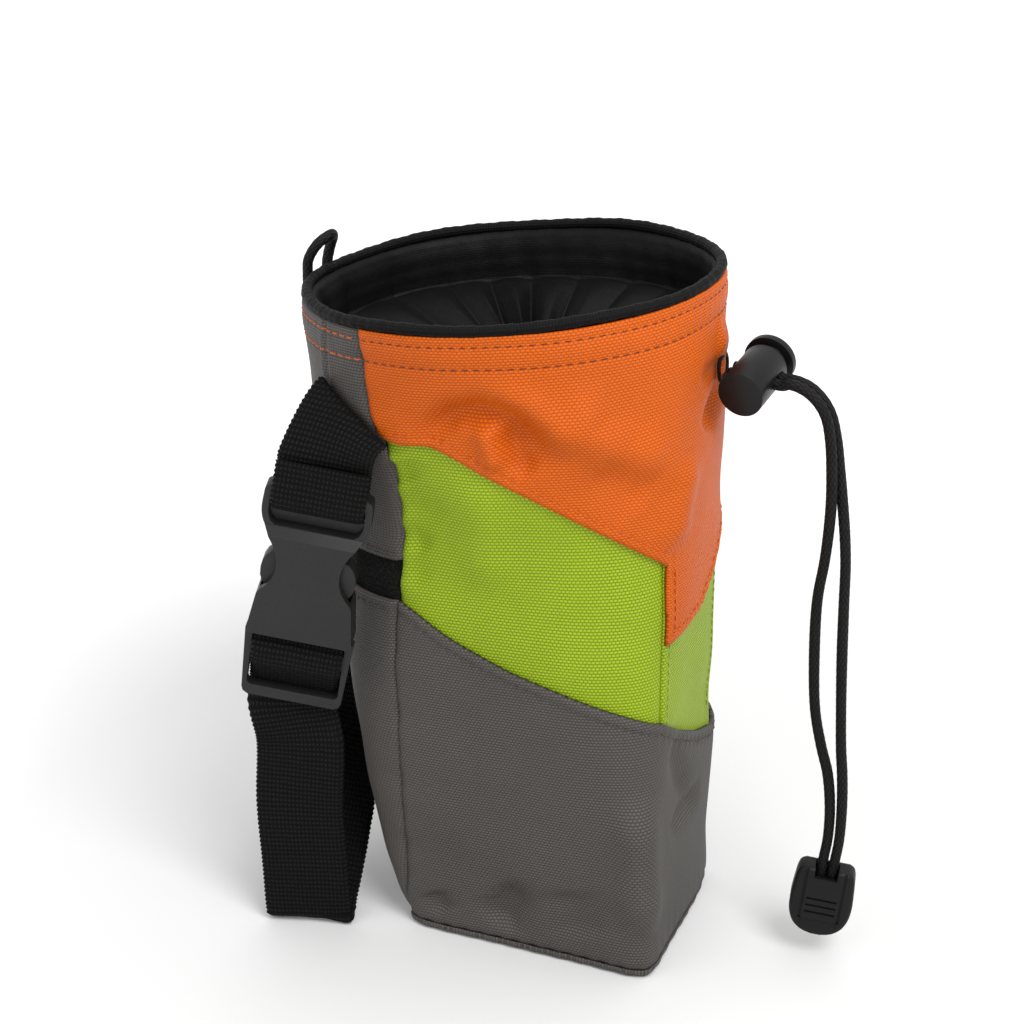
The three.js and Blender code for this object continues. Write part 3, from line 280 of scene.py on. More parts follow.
orange_hem = soft_hem(ORANGE_HEM, 0.07, -1.0)
grey_hem = soft_hem(GREY_HEM, 0.07, -9.0)


def linked(name, data):
    obj = bpy.data.objects.new(name, data)
    bpy.context.collection.objects.link(obj)
    return obj


# Nodes
class Finish:
    """A procedural material, built up node by node."""

    def __init__(self, name, roughness=0.6, specular=0.4, sheen=0.0, sheen_tint=(1, 1, 1)):
        self.material = bpy.data.materials.new(name)
        self.material.use_nodes = True
        self.tree = self.material.node_tree
        self.shader = self.tree.nodes["Principled BSDF"]
        self.shader.inputs["Roughness"].default_value = roughness
        self.shader.inputs["Specular IOR Level"].default_value = specular
        self.shader.inputs["Sheen Weight"].default_value = sheen
        self.shader.inputs["Sheen Roughness"].default_value = 0.45
        self.shader.inputs["Sheen Tint"].default_value = (*sheen_tint, 1)

    def node(self, kind, **values):
        node = self.tree.nodes.new(kind)
        for key, value in values.items():
            setattr(node, key, value)
        return node

    def put(self, socket, value):
        if hasattr(value, "is_linked"):
            self.tree.links.new(value, socket)
        elif isinstance(value, tuple):
            socket.default_value = (*value, 1) if len(value) == 3 else value
        else:
            socket.default_value = value

    def math(self, operation, a, b=None):
        node = self.node("ShaderNodeMath", operation=operation)
        self.put(node.inputs[0], a)
        if b is not None:
            self.put(node.inputs[1], b)
        return node.outputs[0]

    def mix(self, factor, a, b):
        node = self.node("ShaderNodeMix", data_type="RGBA")
        self.put(node.inputs["Factor"], factor)
        self.put(node.inputs["A"], a)
        self.put(node.inputs["B"], b)
        return node.outputs["Result"]

    def noise(self, scale, detail=3.0, roughness=0.5):
        node = self.node("ShaderNodeTexNoise")
        node.inputs["Scale"].default_value = scale
        node.inputs["Detail"].default_value = detail
        node.inputs["Roughness"].default_value = roughness
        self.put(node.inputs["Vector"], self.node("ShaderNodeTexCoord").outputs["Object"])
        return node.outputs["Fac"]

    def range(self, value, low, high, to_low=0.0, to_high=1.0):
        node = self.node("ShaderNodeMapRange")
        for key, number in zip(("Value", "From Min", "From Max", "To Min", "To Max"),
                               (value, low, high, to_low, to_high)):
            self.put(node.inputs[key], number)
        return node.outputs["Result"]

    def cloth_axes(self):
        uv = self.node("ShaderNodeUVMap", uv_map="cloth")
        split = self.node("ShaderNodeSeparateXYZ")
        self.put(split.inputs[0], uv.outputs[0])
        return split.outputs[0], split.outputs[1]

    def weave(self, u, v, step_u, step_v, plain=True, sharp=0.5, flat=1.1):
        """Height of crossing threads from 0 to 1, and which thread is on top."""
        pu = self.math("DIVIDE", u, step_u)
        pv = self.math("DIVIDE", v, step_v)
        su = self.math("ABSOLUTE", self.math("SINE", self.math("MULTIPLY", pu, math.pi)))
        sv = self.math("ABSOLUTE", self.math("SINE", self.math("MULTIPLY", pv, math.pi)))
        over = self.math("MULTIPLY", self.math("POWER", su, sharp), self.math("POWER", sv, flat))
        if not plain:
            return over, None
        under = self.math("MULTIPLY", self.math("POWER", su, flat), self.math("POWER", sv, sharp))
        cell = self.math("ADD", self.math("FLOOR", pu), self.math("FLOOR", pv))
        parity = self.math("PINGPONG", cell, 1.0)
        height = self.math("ADD", over, self.math(
            "MULTIPLY", parity, self.math("SUBTRACT", under, over)))
        return height, parity

    def bump(self, height, distance, strength=1.0, normal=None):
        node = self.node("ShaderNodeBump")
        node.inputs["Distance"].default_value = distance
        node.inputs["Strength"].default_value = strength
        self.put(node.inputs["Height"], height)
        if normal is not None:
            self.put(node.inputs["Normal"], normal)
        return node.outputs[0]

    def colour(self, value):
        self.put(self.shader.inputs["Base Color"], value)

    def normal(self, value):
        self.put(self.shader.inputs["Normal"], value)


WEAVE_RISE = 0.00016


def oxford_cloth(name, shaded_tone, lit_tone, step_u, step_v, roughness):
    """Coated oxford weave: rows of short raised threads, each row half a thread along."""
    f = Finish(name, roughness=roughness, specular=0.16)
    u, v = f.cloth_axes()
    wander = f.noise(90.0, 2.0)
    u = f.math("ADD", u, f.math("MULTIPLY", wander, 0.5))
    v = f.math("ADD", v, f.math("MULTIPLY", wander, -0.5))
    row = f.math("DIVIDE", v, step_v)
    parity = f.math("PINGPONG", f.math("FLOOR", row), 1.0)
    column = f.math("ADD", f.math("DIVIDE", u, step_u), f.math("MULTIPLY", parity, 0.5))
    across = f.math("ABSOLUTE", f.math("SINE", f.math("MULTIPLY", column, math.pi)))
    up = f.math("ABSOLUTE", f.math("SINE", f.math("MULTIPLY", row, math.pi)))
    height = f.math("MULTIPLY", f.math("POWER", across, 0.55), f.math("POWER", up, 0.8))
    slubs = f.noise(900.0, 2.0, 0.7)
    raised = f.math("MULTIPLY", height, f.range(slubs, 0.3, 0.7, 0.85, 1.0))
    # Colour follows the weave's height: painted shade in the grooves between threads, painted
    # highlight on the raised thread tops.
    shade = f.mix(f.range(raised, 0.1, 0.85), shaded_tone, lit_tone)
    mottle = f.range(f.noise(28.0, 4.0, 0.6), 0.3, 0.7, 0.93, 1.05)
    tone = f.node("ShaderNodeHueSaturation")
    f.put(tone.inputs["Color"], shade)
    f.put(tone.inputs["Value"], mottle)
    f.colour(tone.outputs[0])
    soft = f.bump(f.noise(160.0, 3.0, 0.5), 0.0006, 0.25)
    f.normal(f.bump(raised, WEAVE_RISE, 1.0, soft))
    return f.material


def black_cloth(name, tone, step, roughness, bump, wrinkle, specular=0.12):
    """Thin black nylon or binding, with fine wrinkles."""
    f = Finish(name, roughness=roughness, specular=specular)
    u, v = f.cloth_axes()
    height, _ = f.weave(u, v, step, step)
    # Darker where the weave is low: painted shade between the threads, down to 0.45 of the tone.
    low = tuple(0.45 * c for c in tone)
    fine = f.noise(420.0, 4.0, 0.65)
    f.colour(f.mix(f.range(f.math("MULTIPLY", height, fine), 0.1, 0.6), low, tone))
    soft = f.bump(f.noise(130.0, 5.0, 0.62), wrinkle, 0.8)
    f.normal(f.bump(height, bump, 0.8, soft))
    return f.material


def fuzzy_tape(name):
    f = Finish(name, roughness=0.95, specular=0.05, sheen=0.03, sheen_tint=(0.5, 0.5, 0.5))
    hooks = f.node("ShaderNodeTexVoronoi")
    hooks.inputs["Scale"].default_value = 1700.0
    f.put(hooks.inputs["Vector"], f.node("ShaderNodeTexCoord").outputs["Object"])
    cells = hooks.outputs["Distance"]
    fuzz = f.noise(2600.0, 4.0, 0.8)
    height = f.math("ADD", cells, fuzz)
    f.colour(f.mix(f.range(height, 0.7, 1.4), (0.0015, 0.0015, 0.0015), (0.020, 0.019, 0.018)))
    f.normal(f.bump(height, 0.0009, 1.0))
    return f.material


def webbing_cloth(name):
    """Ribbed belt webbing: rows across the band and a column step along it."""
    f = Finish(name, roughness=0.62, specular=0.14)
    u, v = f.cloth_axes()
    wander = f.noise(140.0, 2.0)
    v = f.math("ADD", v, f.math("MULTIPLY", wander, 0.7))
    height, _ = f.weave(u, v, 1.15, 1.5, plain=False, sharp=0.6, flat=0.75)
    strands = f.noise(2200.0, 3.0, 0.7)
    raised = f.math("MULTIPLY", height, f.range(strands, 0.3, 0.7, 0.6, 1.0))
    # Colour follows the ribs' height: painted shade between the ribs, lighter on the raised rows.
    f.colour(f.mix(f.range(raised, 0.45, 1.0), (0.0015, 0.0015, 0.0015), (0.013, 0.012, 0.0115)))
    f.put(f.shader.inputs["Roughness"], f.range(raised, 0.2, 1.0, 0.9, 0.5))
    f.normal(f.bump(raised, 0.0007, 1.0))
    return f.material


def braid_cloth(name):
    f = Finish(name, roughness=0.55, specular=0.14)
    u, v = f.cloth_axes()
    height, _ = f.weave(u, v, 1.0, 1.0, sharp=0.8, flat=0.35)
    strands = f.noise(3000.0, 2.0, 0.7)
    # Colour follows the strands' height: painted shade between the strands, lighter on their
    # tops.
    f.colour(f.mix(f.range(f.math("MULTIPLY", height, strands), 0.15, 0.55),
                   (0.001, 0.001, 0.001), (0.010, 0.009, 0.009)))
    f.normal(f.bump(f.math("ADD", height, f.math("MULTIPLY", strands, 0.5)), 0.00012, 1.0))
    return f.material


def moulded_plastic(name, tone, roughness, grain, specular):
    """Black moulded plastic with a fine spark-eroded grain."""
    f = Finish(name, roughness=roughness, specular=specular)
    speck = f.noise(1500.0, 4.0, 0.7)
    low = tuple(0.7 * c for c in tone)
    f.colour(f.mix(f.range(speck, 0.35, 0.65), low, tone))
    f.put(f.shader.inputs["Roughness"], f.range(f.noise(60.0, 3.0), 0.3, 0.7,
                                                roughness - 0.05, roughness + 0.08))
    f.normal(f.bump(speck, grain, 0.6))
    return f.material


def thread(name, colour):
    f = Finish(name, roughness=0.6, specular=0.35, sheen=0.2, sheen_tint=colour)
    twist = f.noise(2400.0, 2.0, 0.6)
    f.colour(f.mix(f.range(twist, 0.35, 0.65), tuple(0.55 * c for c in colour), colour))
    f.normal(f.bump(twist, 0.00008, 1.0))
    return f.material


ORANGE = oxford_cloth("orange_oxford", (0.36, 0.050, 0.0015), (0.56, 0.106, 0.003),
                      1.25, 0.82, 0.5)
GREEN = oxford_cloth("green_oxford", (0.115, 0.185, 0.004), (0.300, 0.405, 0.014),
                     1.15, 0.98, 0.5)
GREY = oxford_cloth("grey_oxford", (0.034, 0.031, 0.029), (0.088, 0.080, 0.074), 1.05, 0.9, 0.56)
LINING = black_cloth("black_lining", (0.007, 0.0065, 0.0065), 0.7, 0.5, 0.00005, 0.0005, 0.10)
BINDING = black_cloth("black_binding", (0.0045, 0.0045, 0.0045), 0.8, 0.6, 0.00018, 0.0003, 0.10)
TAPE = fuzzy_tape("loop_tape")
WEBBING = webbing_cloth("belt_webbing")
BRAID = braid_cloth("braided_cord")
BUCKLE = moulded_plastic("buckle_plastic", (0.011, 0.0108, 0.0108), 0.45, 0.00006, 0.30)
LOCK = moulded_plastic("lock_plastic", (0.006, 0.006, 0.006), 0.36, 0.00003, 0.20)
END = moulded_plastic("end_plastic", (0.005, 0.005, 0.005), 0.5, 0.00005, 0.18)
ORANGE_THREAD = thread("orange_thread", (0.60, 0.105, 0.006))
# Dark brown stands for the orange thread in the shade of its stitch holes: painted shade.
SHADED_ORANGE_THREAD = thread("orange_thread_painted_shade", (0.11, 0.020, 0.003))
GREY_THREAD = thread("grey_thread", (0.060, 0.054, 0.050))
GREEN_THREAD = thread("green_thread", (0.30, 0.40, 0.03))


# Meshes
def make_object(name, points, faces, material, uv=None, wrap=None, replaces=()):
    """A mesh from points in mm and faces. uv is per point; wrap closes a ring's uv."""
    faces = [tuple(int(i) for i in face) for face in faces]
    mesh = bpy.data.meshes.new(name)
    mesh.from_pydata((np.asarray(points) * MM).tolist(), [], faces)
    if uv is not None:
        uv = np.asarray(uv, float)
        corners = np.fromiter((i for face in faces for i in face), int)
        corner_uv = uv[corners].copy()
        if wrap is not None:
            counts = np.array([len(face) for face in faces])
            highest = np.maximum.reduceat(corner_uv[:, 0], np.r_[0, np.cumsum(counts)[:-1]])
            highest = np.repeat(highest, counts)
            corner_uv[:, 0] += np.where(highest - corner_uv[:, 0] > wrap / 2, wrap, 0)
        layer = mesh.uv_layers.new(name="cloth")
        layer.data.foreach_set("uv", corner_uv.astype(np.float32).ravel())
    mesh.polygons.foreach_set("use_smooth", [True] * len(faces))
    mesh.validate()
    mesh.update()
    obj = linked(name, mesh)
    settle(obj, material, replaces)
    return obj


def settle(obj, material, replaces, body="bag"):
    obj.data.materials.clear()
    obj.data.materials.append(material)
    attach(obj, body)
    if replaces:
        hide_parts(*replaces)


def grid_faces(columns, rows, joined=False):
    """Quads of a grid whose first index runs along and second up, seen from the front."""
    spans = columns if joined else columns - 1
    i, j = np.meshgrid(np.arange(spans), np.arange(rows - 1), indexing="ij")
    n = (i + 1) % columns
    quads = np.stack([i * rows + j, n * rows + j, n * rows + j + 1, i * rows + j + 1], -1)
    return quads.reshape(-1, 4).tolist()


def shelled(faces, count):
    """Both sides of a sheet of count points, and the strips that close its edges."""
    edges = {}
    for face in faces:
        for a, b in zip(face, face[1:] + face[:1]):
            edges[(a, b)] = True
    back = [tuple(i + count for i in reversed(face)) for face in faces]
    strips = [(b, a, a + count, b + count) for a, b in edges if (b, a) not in edges]
    return list(faces) + back + strips


def spline(points, share):
    """Centripetal curve through points, at shares of its parameter."""
    points = np.asarray(points, float)
    p = np.vstack([2 * points[0] - points[1], points, 2 * points[-1] - points[-2]])
    place = np.asarray(share, float) * (len(points) - 1)
    k = np.clip(place.astype(int), 0, len(points) - 2)
    w = (place - k)[:, None]
    a, b, c, d = p[k], p[k + 1], p[k + 2], p[k + 3]

    def gap(start, end):
        return np.maximum(np.linalg.norm(end - start, axis=1), 1e-8)[:, None] ** 0.5

    t0, t1, t2 = gap(a, b), gap(b, c), gap(c, d)
    m1 = ((b - a) / t0 - (c - a) / (t0 + t1) + (c - b) / t1) * t1
    m2 = ((c - b) / t1 - (d - b) / (t1 + t2) + (d - c) / t2) * t1
    w2, w3 = w * w, w * w * w
    return (b * (2 * w3 - 3 * w2 + 1) + m1 * (w3 - 2 * w2 + w)
            + c * (3 * w2 - 2 * w3) + m2 * (w3 - w2))


def even(points, step):
    """The same line with points an even step apart."""
    lengths = run_lengths(points)
    count = max(int(round(lengths[-1] / step)), 2)
    places = np.linspace(0, lengths[-1], count + 1)
    return at_lengths(places, lengths, points), places


def tube_frames(path):
    tangents = unit(np.gradient(path, axis=0))
    normals = np.zeros_like(path)
    guide = np.array([0.0, 0.0, 1.0]) if abs(tangents[0][2]) < 0.9 else np.array([1.0, 0, 0])
    for i, tangent in enumerate(tangents):
        guide = unit(guide - tangent * (guide @ tangent))
        normals[i] = guide
    return tangents, normals, np.cross(tangents, normals)


def braid_height(u, v):
    cell = np.mod(np.floor(u) + np.floor(v), 2)
    fu, fv = np.mod(u, 1), np.mod(v, 1)
    round_u = np.sqrt(np.maximum(1 - (2 * fu - 1) ** 2, 0))
    round_v = np.sqrt(np.maximum(1 - (2 * fv - 1) ** 2, 0))
    return np.where(cell < 0.5, round_u * (0.7 + 0.3 * round_v), round_v * (0.7 + 0.3 * round_u))


CORD_DIAMETER = 3.0
BRAID_PITCH = 2.3
BRAID_STRANDS = 8
TUBE_SIDES = 36


def braided_tube(name, route, replaces):
    """A braided cord along a route, its strands raised in the mesh."""
    pitch, strands, sides = BRAID_PITCH, BRAID_STRANDS, TUBE_SIDES
    path, places = even(route, 0.3)
    _, normals, sides_dir = tube_frames(path)
    turn = np.linspace(0, 1, sides, endpoint=False)
    angle = 2 * math.pi * turn
    u = turn[None, :] * strands + places[:, None] / pitch
    v = -turn[None, :] * strands + places[:, None] / pitch
    sag = 1 + 0.025 * np.sin(places / 7.0)[:, None]
    reach = CORD_DIAMETER / 2 * sag * (0.90 + 0.11 * braid_height(u, v))
    ring = (normals[:, None, :] * np.cos(angle)[None, :, None]
            + sides_dir[:, None, :] * np.sin(angle)[None, :, None])
    points = path[:, None, :] + ring * reach[..., None]
    count = len(path)
    i, k = np.meshgrid(np.arange(count - 1), np.arange(sides), indexing="ij")
    n = (k + 1) % sides
    faces = np.stack([i * sides + k, i * sides + n, (i + 1) * sides + n, (i + 1) * sides + k], -1)
    faces = faces.reshape(-1, 4).tolist()
    faces.append(tuple(range(sides))[::-1])
    faces.append(tuple((count - 1) * sides + k for k in range(sides)))
    uv = np.stack([u, v], -1).reshape(-1, 2)
    obj = make_object(name, points.reshape(-1, 3), faces, BRAID, uv=None,
                      replaces=replaces)
    layer = obj.data.uv_layers.new(name="cloth")
    corners = np.array([loop.vertex_index for loop in obj.data.loops])
    corner_uv = uv[corners].copy()
    column = corners % sides
    quads = 4 * (count - 1) * sides
    block = column[:quads].reshape(-1, 4)
    last = (block == 0) & (block.max(axis=1, keepdims=True) == sides - 1)
    shift = np.where(last.ravel()[:, None], np.array([[strands, -strands]]), 0)
    corner_uv[:quads] += shift
    layer.data.foreach_set("uv", corner_uv.astype(np.float32).ravel())
    return obj, path


# Camera and light
IMAGE_WIDTH = 1024
FOCAL_PIXELS = 2300.0


def aimed(name, data, target, azimuth, elevation, distance):
    """An object that looks at a target from a direction in degrees and a distance in m."""
    a, e = math.radians(azimuth), math.radians(elevation)
    back = Vector((math.sin(a) * math.cos(e), -math.cos(a) * math.cos(e), math.sin(e)))
    obj = linked(name, data)
    obj.location = Vector(target) + back * distance
    obj.rotation_mode = "QUATERNION"
    obj.rotation_quaternion = (-back).to_track_quat("-Z", "Y")
    return obj


def make_camera():
    data = bpy.data.cameras.new("camera")
    data.sensor_width = 36.0
    data.lens = FOCAL_PIXELS / IMAGE_WIDTH * data.sensor_width
    data.clip_start, data.clip_end = 0.01, 50.0
    bpy.context.scene.camera = aimed("camera", data, (0, 0.0174, 0.1249), -67.7, 25.0, 0.654)


def area_light(name, azimuth, elevation, distance, size, power):
    data = bpy.data.lights.new(name, "AREA")
    data.shape = "DISK"
    data.size = size
    data.energy = power
    aimed(name, data, (0, 0, 0.1), azimuth, elevation, distance)


def make_studio():
    world = bpy.data.worlds.new("studio")
    bpy.context.scene.world = world
    world.use_nodes = True
    background = world.node_tree.nodes["Background"]
    background.inputs["Color"].default_value = (1, 1, 1, 1)
    background.inputs["Strength"].default_value = 1.0
    area_light("key", -40, 50, 1.3, 0.6, 12.0)
    area_light("fill", -125, 30, 1.5, 0.9, 2.0)
    area_light("top", 20, 80, 1.4, 1.0, 4.0)
    scene = bpy.context.scene
    scene.view_settings.view_transform = "Standard"
    scene.view_settings.look = "None"
    mesh = bpy.data.meshes.new("floor")
    reach = 3.0
    mesh.from_pydata([(-reach, -reach, 0), (reach, -reach, 0), (reach, reach, 0),
                      (-reach, reach, 0)], [], [(0, 1, 2, 3)])
    floor = linked("floor", mesh)
    f = Finish("floor", roughness=0.6, specular=0.2)
    # The floor is white far out and greyer within about 0.45 m of the middle: a painted shadow
    # round the bag.
    spread = f.node("ShaderNodeTexGradient", gradient_type="SPHERICAL")
    scaled = f.node("ShaderNodeVectorMath", operation="SCALE")
    f.put(scaled.inputs[0], f.node("ShaderNodeTexCoord").outputs["Object"])
    scaled.inputs["Scale"].default_value = 2.2
    f.put(spread.inputs[0], scaled.outputs[0])
    painted_shadow_mask = f.range(spread.outputs["Fac"], 0.0, 0.6)
    f.colour(f.mix(painted_shadow_mask, (0.98, 0.98, 0.98), (0.66, 0.66, 0.66)))
    mesh.materials.append(f.material)


make_camera()
make_studio()


# Draw cord
PAIR_HALF = CORD_DIAMETER / 2 + 0.15
LOCK_HOLE_PLACE = 10.8
LOCK_START = np.array([-10.6, -51.3, 175.2])
LOCK_AXIS = unit([0.978, -0.114, 0.173])
LOCK_OUT = np.array([-0.1, -0.99, -0.06])
LOCK_OUT = unit(LOCK_OUT - LOCK_AXIS * (LOCK_OUT @ LOCK_AXIS))
PAIR_MIDDLE = LOCK_START + LOCK_AXIS * LOCK_HOLE_PLACE

# Middle of the pair x, y, z, then how far each strand lies from it in x and y
CORD_ROUTE = np.array([
    (-1.0, -62.4, 177.0, 1.65, 0.1), (-1.2, -66.8, 175.9, 1.65, 0.1),
    (-1.3, -70.4, 173.1, 1.65, 0.1), (-1.3, -72.9, 169.2, 1.65, 0.2),
    (-1.2, -74.6, 162.5, 1.6, 0.4), (-1.0, -75.7, 153.5, 1.5, 0.7),
    (-1.0, -76.5, 145.0, 1.2, 1.2), (-1.0, -77.0, 136.0, 0.8, 2.0),
    (-1.0, -77.1, 127.0, 0.4, 2.8), (-1.0, -76.6, 115.0, 0.0, 3.7),
    (-1.0, -76.9, 98.0, 0.0, 3.9), (-1.0, -77.9, 81.0, 0.0, 3.7),
    (-1.0, -79.4, 70.0, 0.0, 2.9), (-1.0, -81.1, 61.0, 0.0, 2.1),
    (-1.0, -82.0, 50.0, 0.0, 1.72), (-1.0, -81.9, 40.0, 0.0, 1.66),
])
END_TOP = np.array([-1.0, -80.9, 31.2])
END_UP = unit([0, -0.11, 0.994])
END_FACING = np.array([-0.98, -0.198, 0.0])
END_FACING = unit(END_FACING - END_UP * (END_FACING @ END_UP))
END_ACROSS = np.cross(END_UP, END_FACING)
END_RECESS = 4.0


def strand_route(side):
    points = [PAIR_MIDDLE + LOCK_OUT * d - LOCK_AXIS * side * PAIR_HALF
              for d in (-7.2, -3, 1, 5, 8)]
    for x, y, z, apart_x, apart_y in CORD_ROUTE:
        points.append(np.array([x - side * apart_x, y + side * apart_y, z]))
    for height in (2.5, 0.3 - END_RECESS):
        points.append(END_TOP + END_UP * height - END_ACROSS * side * PAIR_HALF)
    return spline(points, np.linspace(0, 1, 900))


strands = [braided_tube(node + "_braid", strand_route(side), [node])
           for node, side in (("drawcord_near", 1), ("drawcord_far", -1))]


def frame_matrix(x, y, z, origin):
    return Matrix([[x[k], y[k], z[k], origin[k] * MM] for k in range(3)] + [[0, 0, 0, 1]])


# Hard pieces
def prism(outline, low, high):
    """An outline in mm, drawn out from one height to another, as a temporary object."""
    outline = np.asarray(outline, float)
    x, y = outline.T
    area = np.sum(x * np.roll(y, -1) - y * np.roll(x, -1))
    if area < 0:
        outline = outline[::-1]
    count = len(outline)
    points = [(x, y, low) for x, y in outline] + [(x, y, high) for x, y in outline]
    faces = [tuple(range(count))[::-1], tuple(range(count, 2 * count))]
    faces += [(i, (i + 1) % count, (i + 1) % count + count, i + count) for i in range(count)]
    mesh = bpy.data.meshes.new("part")
    mesh.from_pydata((np.array(points) * MM).tolist(), [], faces)
    return linked("part", mesh)


def box(low, high):
    (x0, y0, z0), (x1, y1, z1) = low, high
    return prism([(x0, y0), (x1, y0), (x1, y1), (x0, y1)], z0, z1)


def round_outline(radius, sides):
    return [(radius * math.cos(2 * math.pi * k / sides),
             radius * math.sin(2 * math.pi * k / sides)) for k in range(sides)]


def applied(obj):
    graph = bpy.context.evaluated_depsgraph_get()
    mesh = bpy.data.meshes.new_from_object(obj.evaluated_get(graph))
    old = obj.data
    obj.modifiers.clear()
    obj.data = mesh
    bpy.data.meshes.remove(old)
    return obj


def combined(obj, other, operation):
    modifier = obj.modifiers.new("cut", "BOOLEAN")
    modifier.operation = operation
    modifier.object = other
    modifier.solver = "EXACT"
    applied(obj)
    mesh = other.data
    bpy.data.objects.remove(other)
    bpy.data.meshes.remove(mesh)
    return obj


def cut(obj, other):
    return combined(obj, other, "DIFFERENCE")


def join(obj, other):
    return combined(obj, other, "UNION")


def bevelled(obj, width, segments=3, angle=28):
    modifier = obj.modifiers.new("edges", "BEVEL")
    modifier.width = width * MM
    modifier.segments = segments
    modifier.limit_method = "ANGLE"
    modifier.angle_limit = math.radians(angle)
    modifier.harden_normals = False
    applied(obj)
    return obj


SHARP_EDGE = 40


def finished(obj, node, matrix, material, body="bag"):
    name = node + "_moulded"
    obj.name = name
    obj.data.name = name
    obj.data.transform(matrix)
    obj.data.polygons.foreach_set("use_smooth", [True] * len(obj.data.polygons))
    obj.data.set_sharp_from_angle(angle=math.radians(SHARP_EDGE))
    settle(obj, material, [node], body)
    return obj


def mirrored(rows):
    rows = list(rows)
    return rows + [(-x, y) for x, y in reversed(rows)]


def curved_side(rows, steps=6):
    rows = np.asarray(rows, float)
    points = np.c_[rows, np.zeros(len(rows))]
    curve = spline(points, np.linspace(0, 1, steps * (len(rows) - 1) + 1))
    return [tuple(p) for p in curve[:, :2]]


BUCKLE_TOP = np.array([-52.192, 50.883, 148.367])
BUCKLE_ALONG = unit([0.055, 0.2, -0.979])
BUCKLE_FACING = np.array([-0.951, -0.287, -0.113])
BUCKLE_FACING = unit(BUCKLE_FACING - BUCKLE_ALONG * (BUCKLE_FACING @ BUCKLE_ALONG))
BUCKLE_ACROSS = np.cross(BUCKLE_ALONG, BUCKLE_FACING)
BUCKLE_HALF = 14.8
SOCKET_LENGTH = 47.6
SLOT_HALF = 13.0
CAVITY_HALF = 12.6
PRONG_HALF = 2.2
WEB_WIDTH = 25.0
WEB_THICKNESS = 1.6
FRAME_TOP = SOCKET_LENGTH + 0.3
FRAME_END = FRAME_TOP + 22.6
BAR_START = FRAME_TOP + 4.4
BAR_END = BAR_START + 4.6
CROSS_START = FRAME_END - 3.4
buckle_matrix = frame_matrix(BUCKLE_ACROSS, BUCKLE_ALONG, BUCKLE_FACING, BUCKLE_TOP)


def on_buckle(across, along, facing):
    return BUCKLE_TOP + BUCKLE_ACROSS * across + BUCKLE_ALONG * along + BUCKLE_FACING * facing


def make_socket():
    upper = curved_side([(12.6, 0), (14.3, 1.0), (14.7, 3.5), (14.8, 8.5), (13.9, 12),
                         (11.9, 15.2), (9.9, 18.8), (8.9, 22.2), (8.8, 25.4), (9.5, 28.6),
                         (11.0, 31.2)], 5)
    lower = [(11.9, 32.3), (12.6, 32.9), (13.2, 34.2), (14.8, 46.6), (14.7, 47.3), (14.3, 47.6)]
    body = prism(mirrored(upper + lower), -4.5, 4.5)
    for side in (-1, 1):
        near, far = sorted((side * 2.3, side * 6.0))
        relief = box((-20, -1, near), (20, 12.8, far))
        body = cut(body, relief)
        wedge_outline = [(12.7, side * 2.3), (15.4, side * 4.6), (12.7, side * 4.8)]
        wedge = prism([(y, z) for y, z in wedge_outline], -20, 20)
        wedge.data.transform(Matrix(((0, 0, 1, 0), (1, 0, 0, 0), (0, 1, 0, 0), (0, 0, 0, 1))))
        body = cut(body, wedge)
    slot = prism(mirrored([(11.4, 3.4), (12.6, 3.9), (13.0, 5.2), (13.0, 9.0), (12.2, 11.4),
                           (10.8, 12.6)]), -10, 10)
    body = cut(body, slot)
    # This block closes the slot behind the strap so that it shows dark: a dark piece standing in
    # for shade.
    body = join(body, box((-13.4, 9.2, -2.3), (13.4, 13.4, -1.1)))
    body = cut(body, box((-CAVITY_HALF, 19, -PRONG_HALF - 0.3),
                         (CAVITY_HALF, SOCKET_LENGTH + 1, PRONG_HALF + 0.3)))
    for side in (-1, 1):
        chamfer = prism([(side * 11.6, 5.2), (side * 15.6, 5.2), (side * 15.6, 1.6)], 31, 49)
        chamfer.data.transform(Matrix(((1, 0, 0, 0), (0, 0, 1, 0), (0, 1, 0, 0), (0, 0, 0, 1))))
        body = cut(body, chamfer)
    bevelled(body, 0.55, 3, 24)
    finished(body, "buckle_socket", buckle_matrix, BUCKLE)


def make_plug():
    half = BUCKLE_HALF + 0.4
    end_half = half - 1
    outer = mirrored([(half, FRAME_TOP), (end_half, FRAME_END - 2.2),
                      (end_half - 0.5, FRAME_END - 0.8), (end_half - 1.8, FRAME_END)])
    body = prism(outer, -1.6, 1.6)
    tongue = CAVITY_HALF - 0.3
    body = join(body, box((-tongue, SOCKET_LENGTH - 4.5, -PRONG_HALF),
                          (tongue, FRAME_TOP + 0.5, PRONG_HALF)))
    body = cut(body, box((-SLOT_HALF, FRAME_TOP + 0.2, -10), (SLOT_HALF, BAR_START, 10)))
    window = mirrored([(SLOT_HALF, BAR_END), (SLOT_HALF, CROSS_START - 1.2),
                       (SLOT_HALF - 0.4, CROSS_START - 0.4), (SLOT_HALF - 1.2, CROSS_START)])
    body = cut(body, prism(window, -10, 10))
    body = join(body, box((-2.5, 24, -PRONG_HALF), (2.5, SOCKET_LENGTH - 4, PRONG_HALF)))
    prong = [(6.6, 43.4), (6.6, 36), (7.6, 30), (7.4, 21.5), (9.0, 20.9), (10.6, 21.3),
             (11.9, 22.6), (12.8, 24.6), (13.1, 26.6), (13.0, 29.2), (12.4, 30.9),
             (11.4, 32.3), (10.2, 34.4), (9.6, 38), (9.6, 43.4)]
    for side in (-1, 1):
        body = join(body, prism([(side * x, y) for x, y in prong], -PRONG_HALF, PRONG_HALF))
    bevelled(body, 0.5, 3, 26)
    finished(body, "buckle_plug", buckle_matrix, BUCKLE)


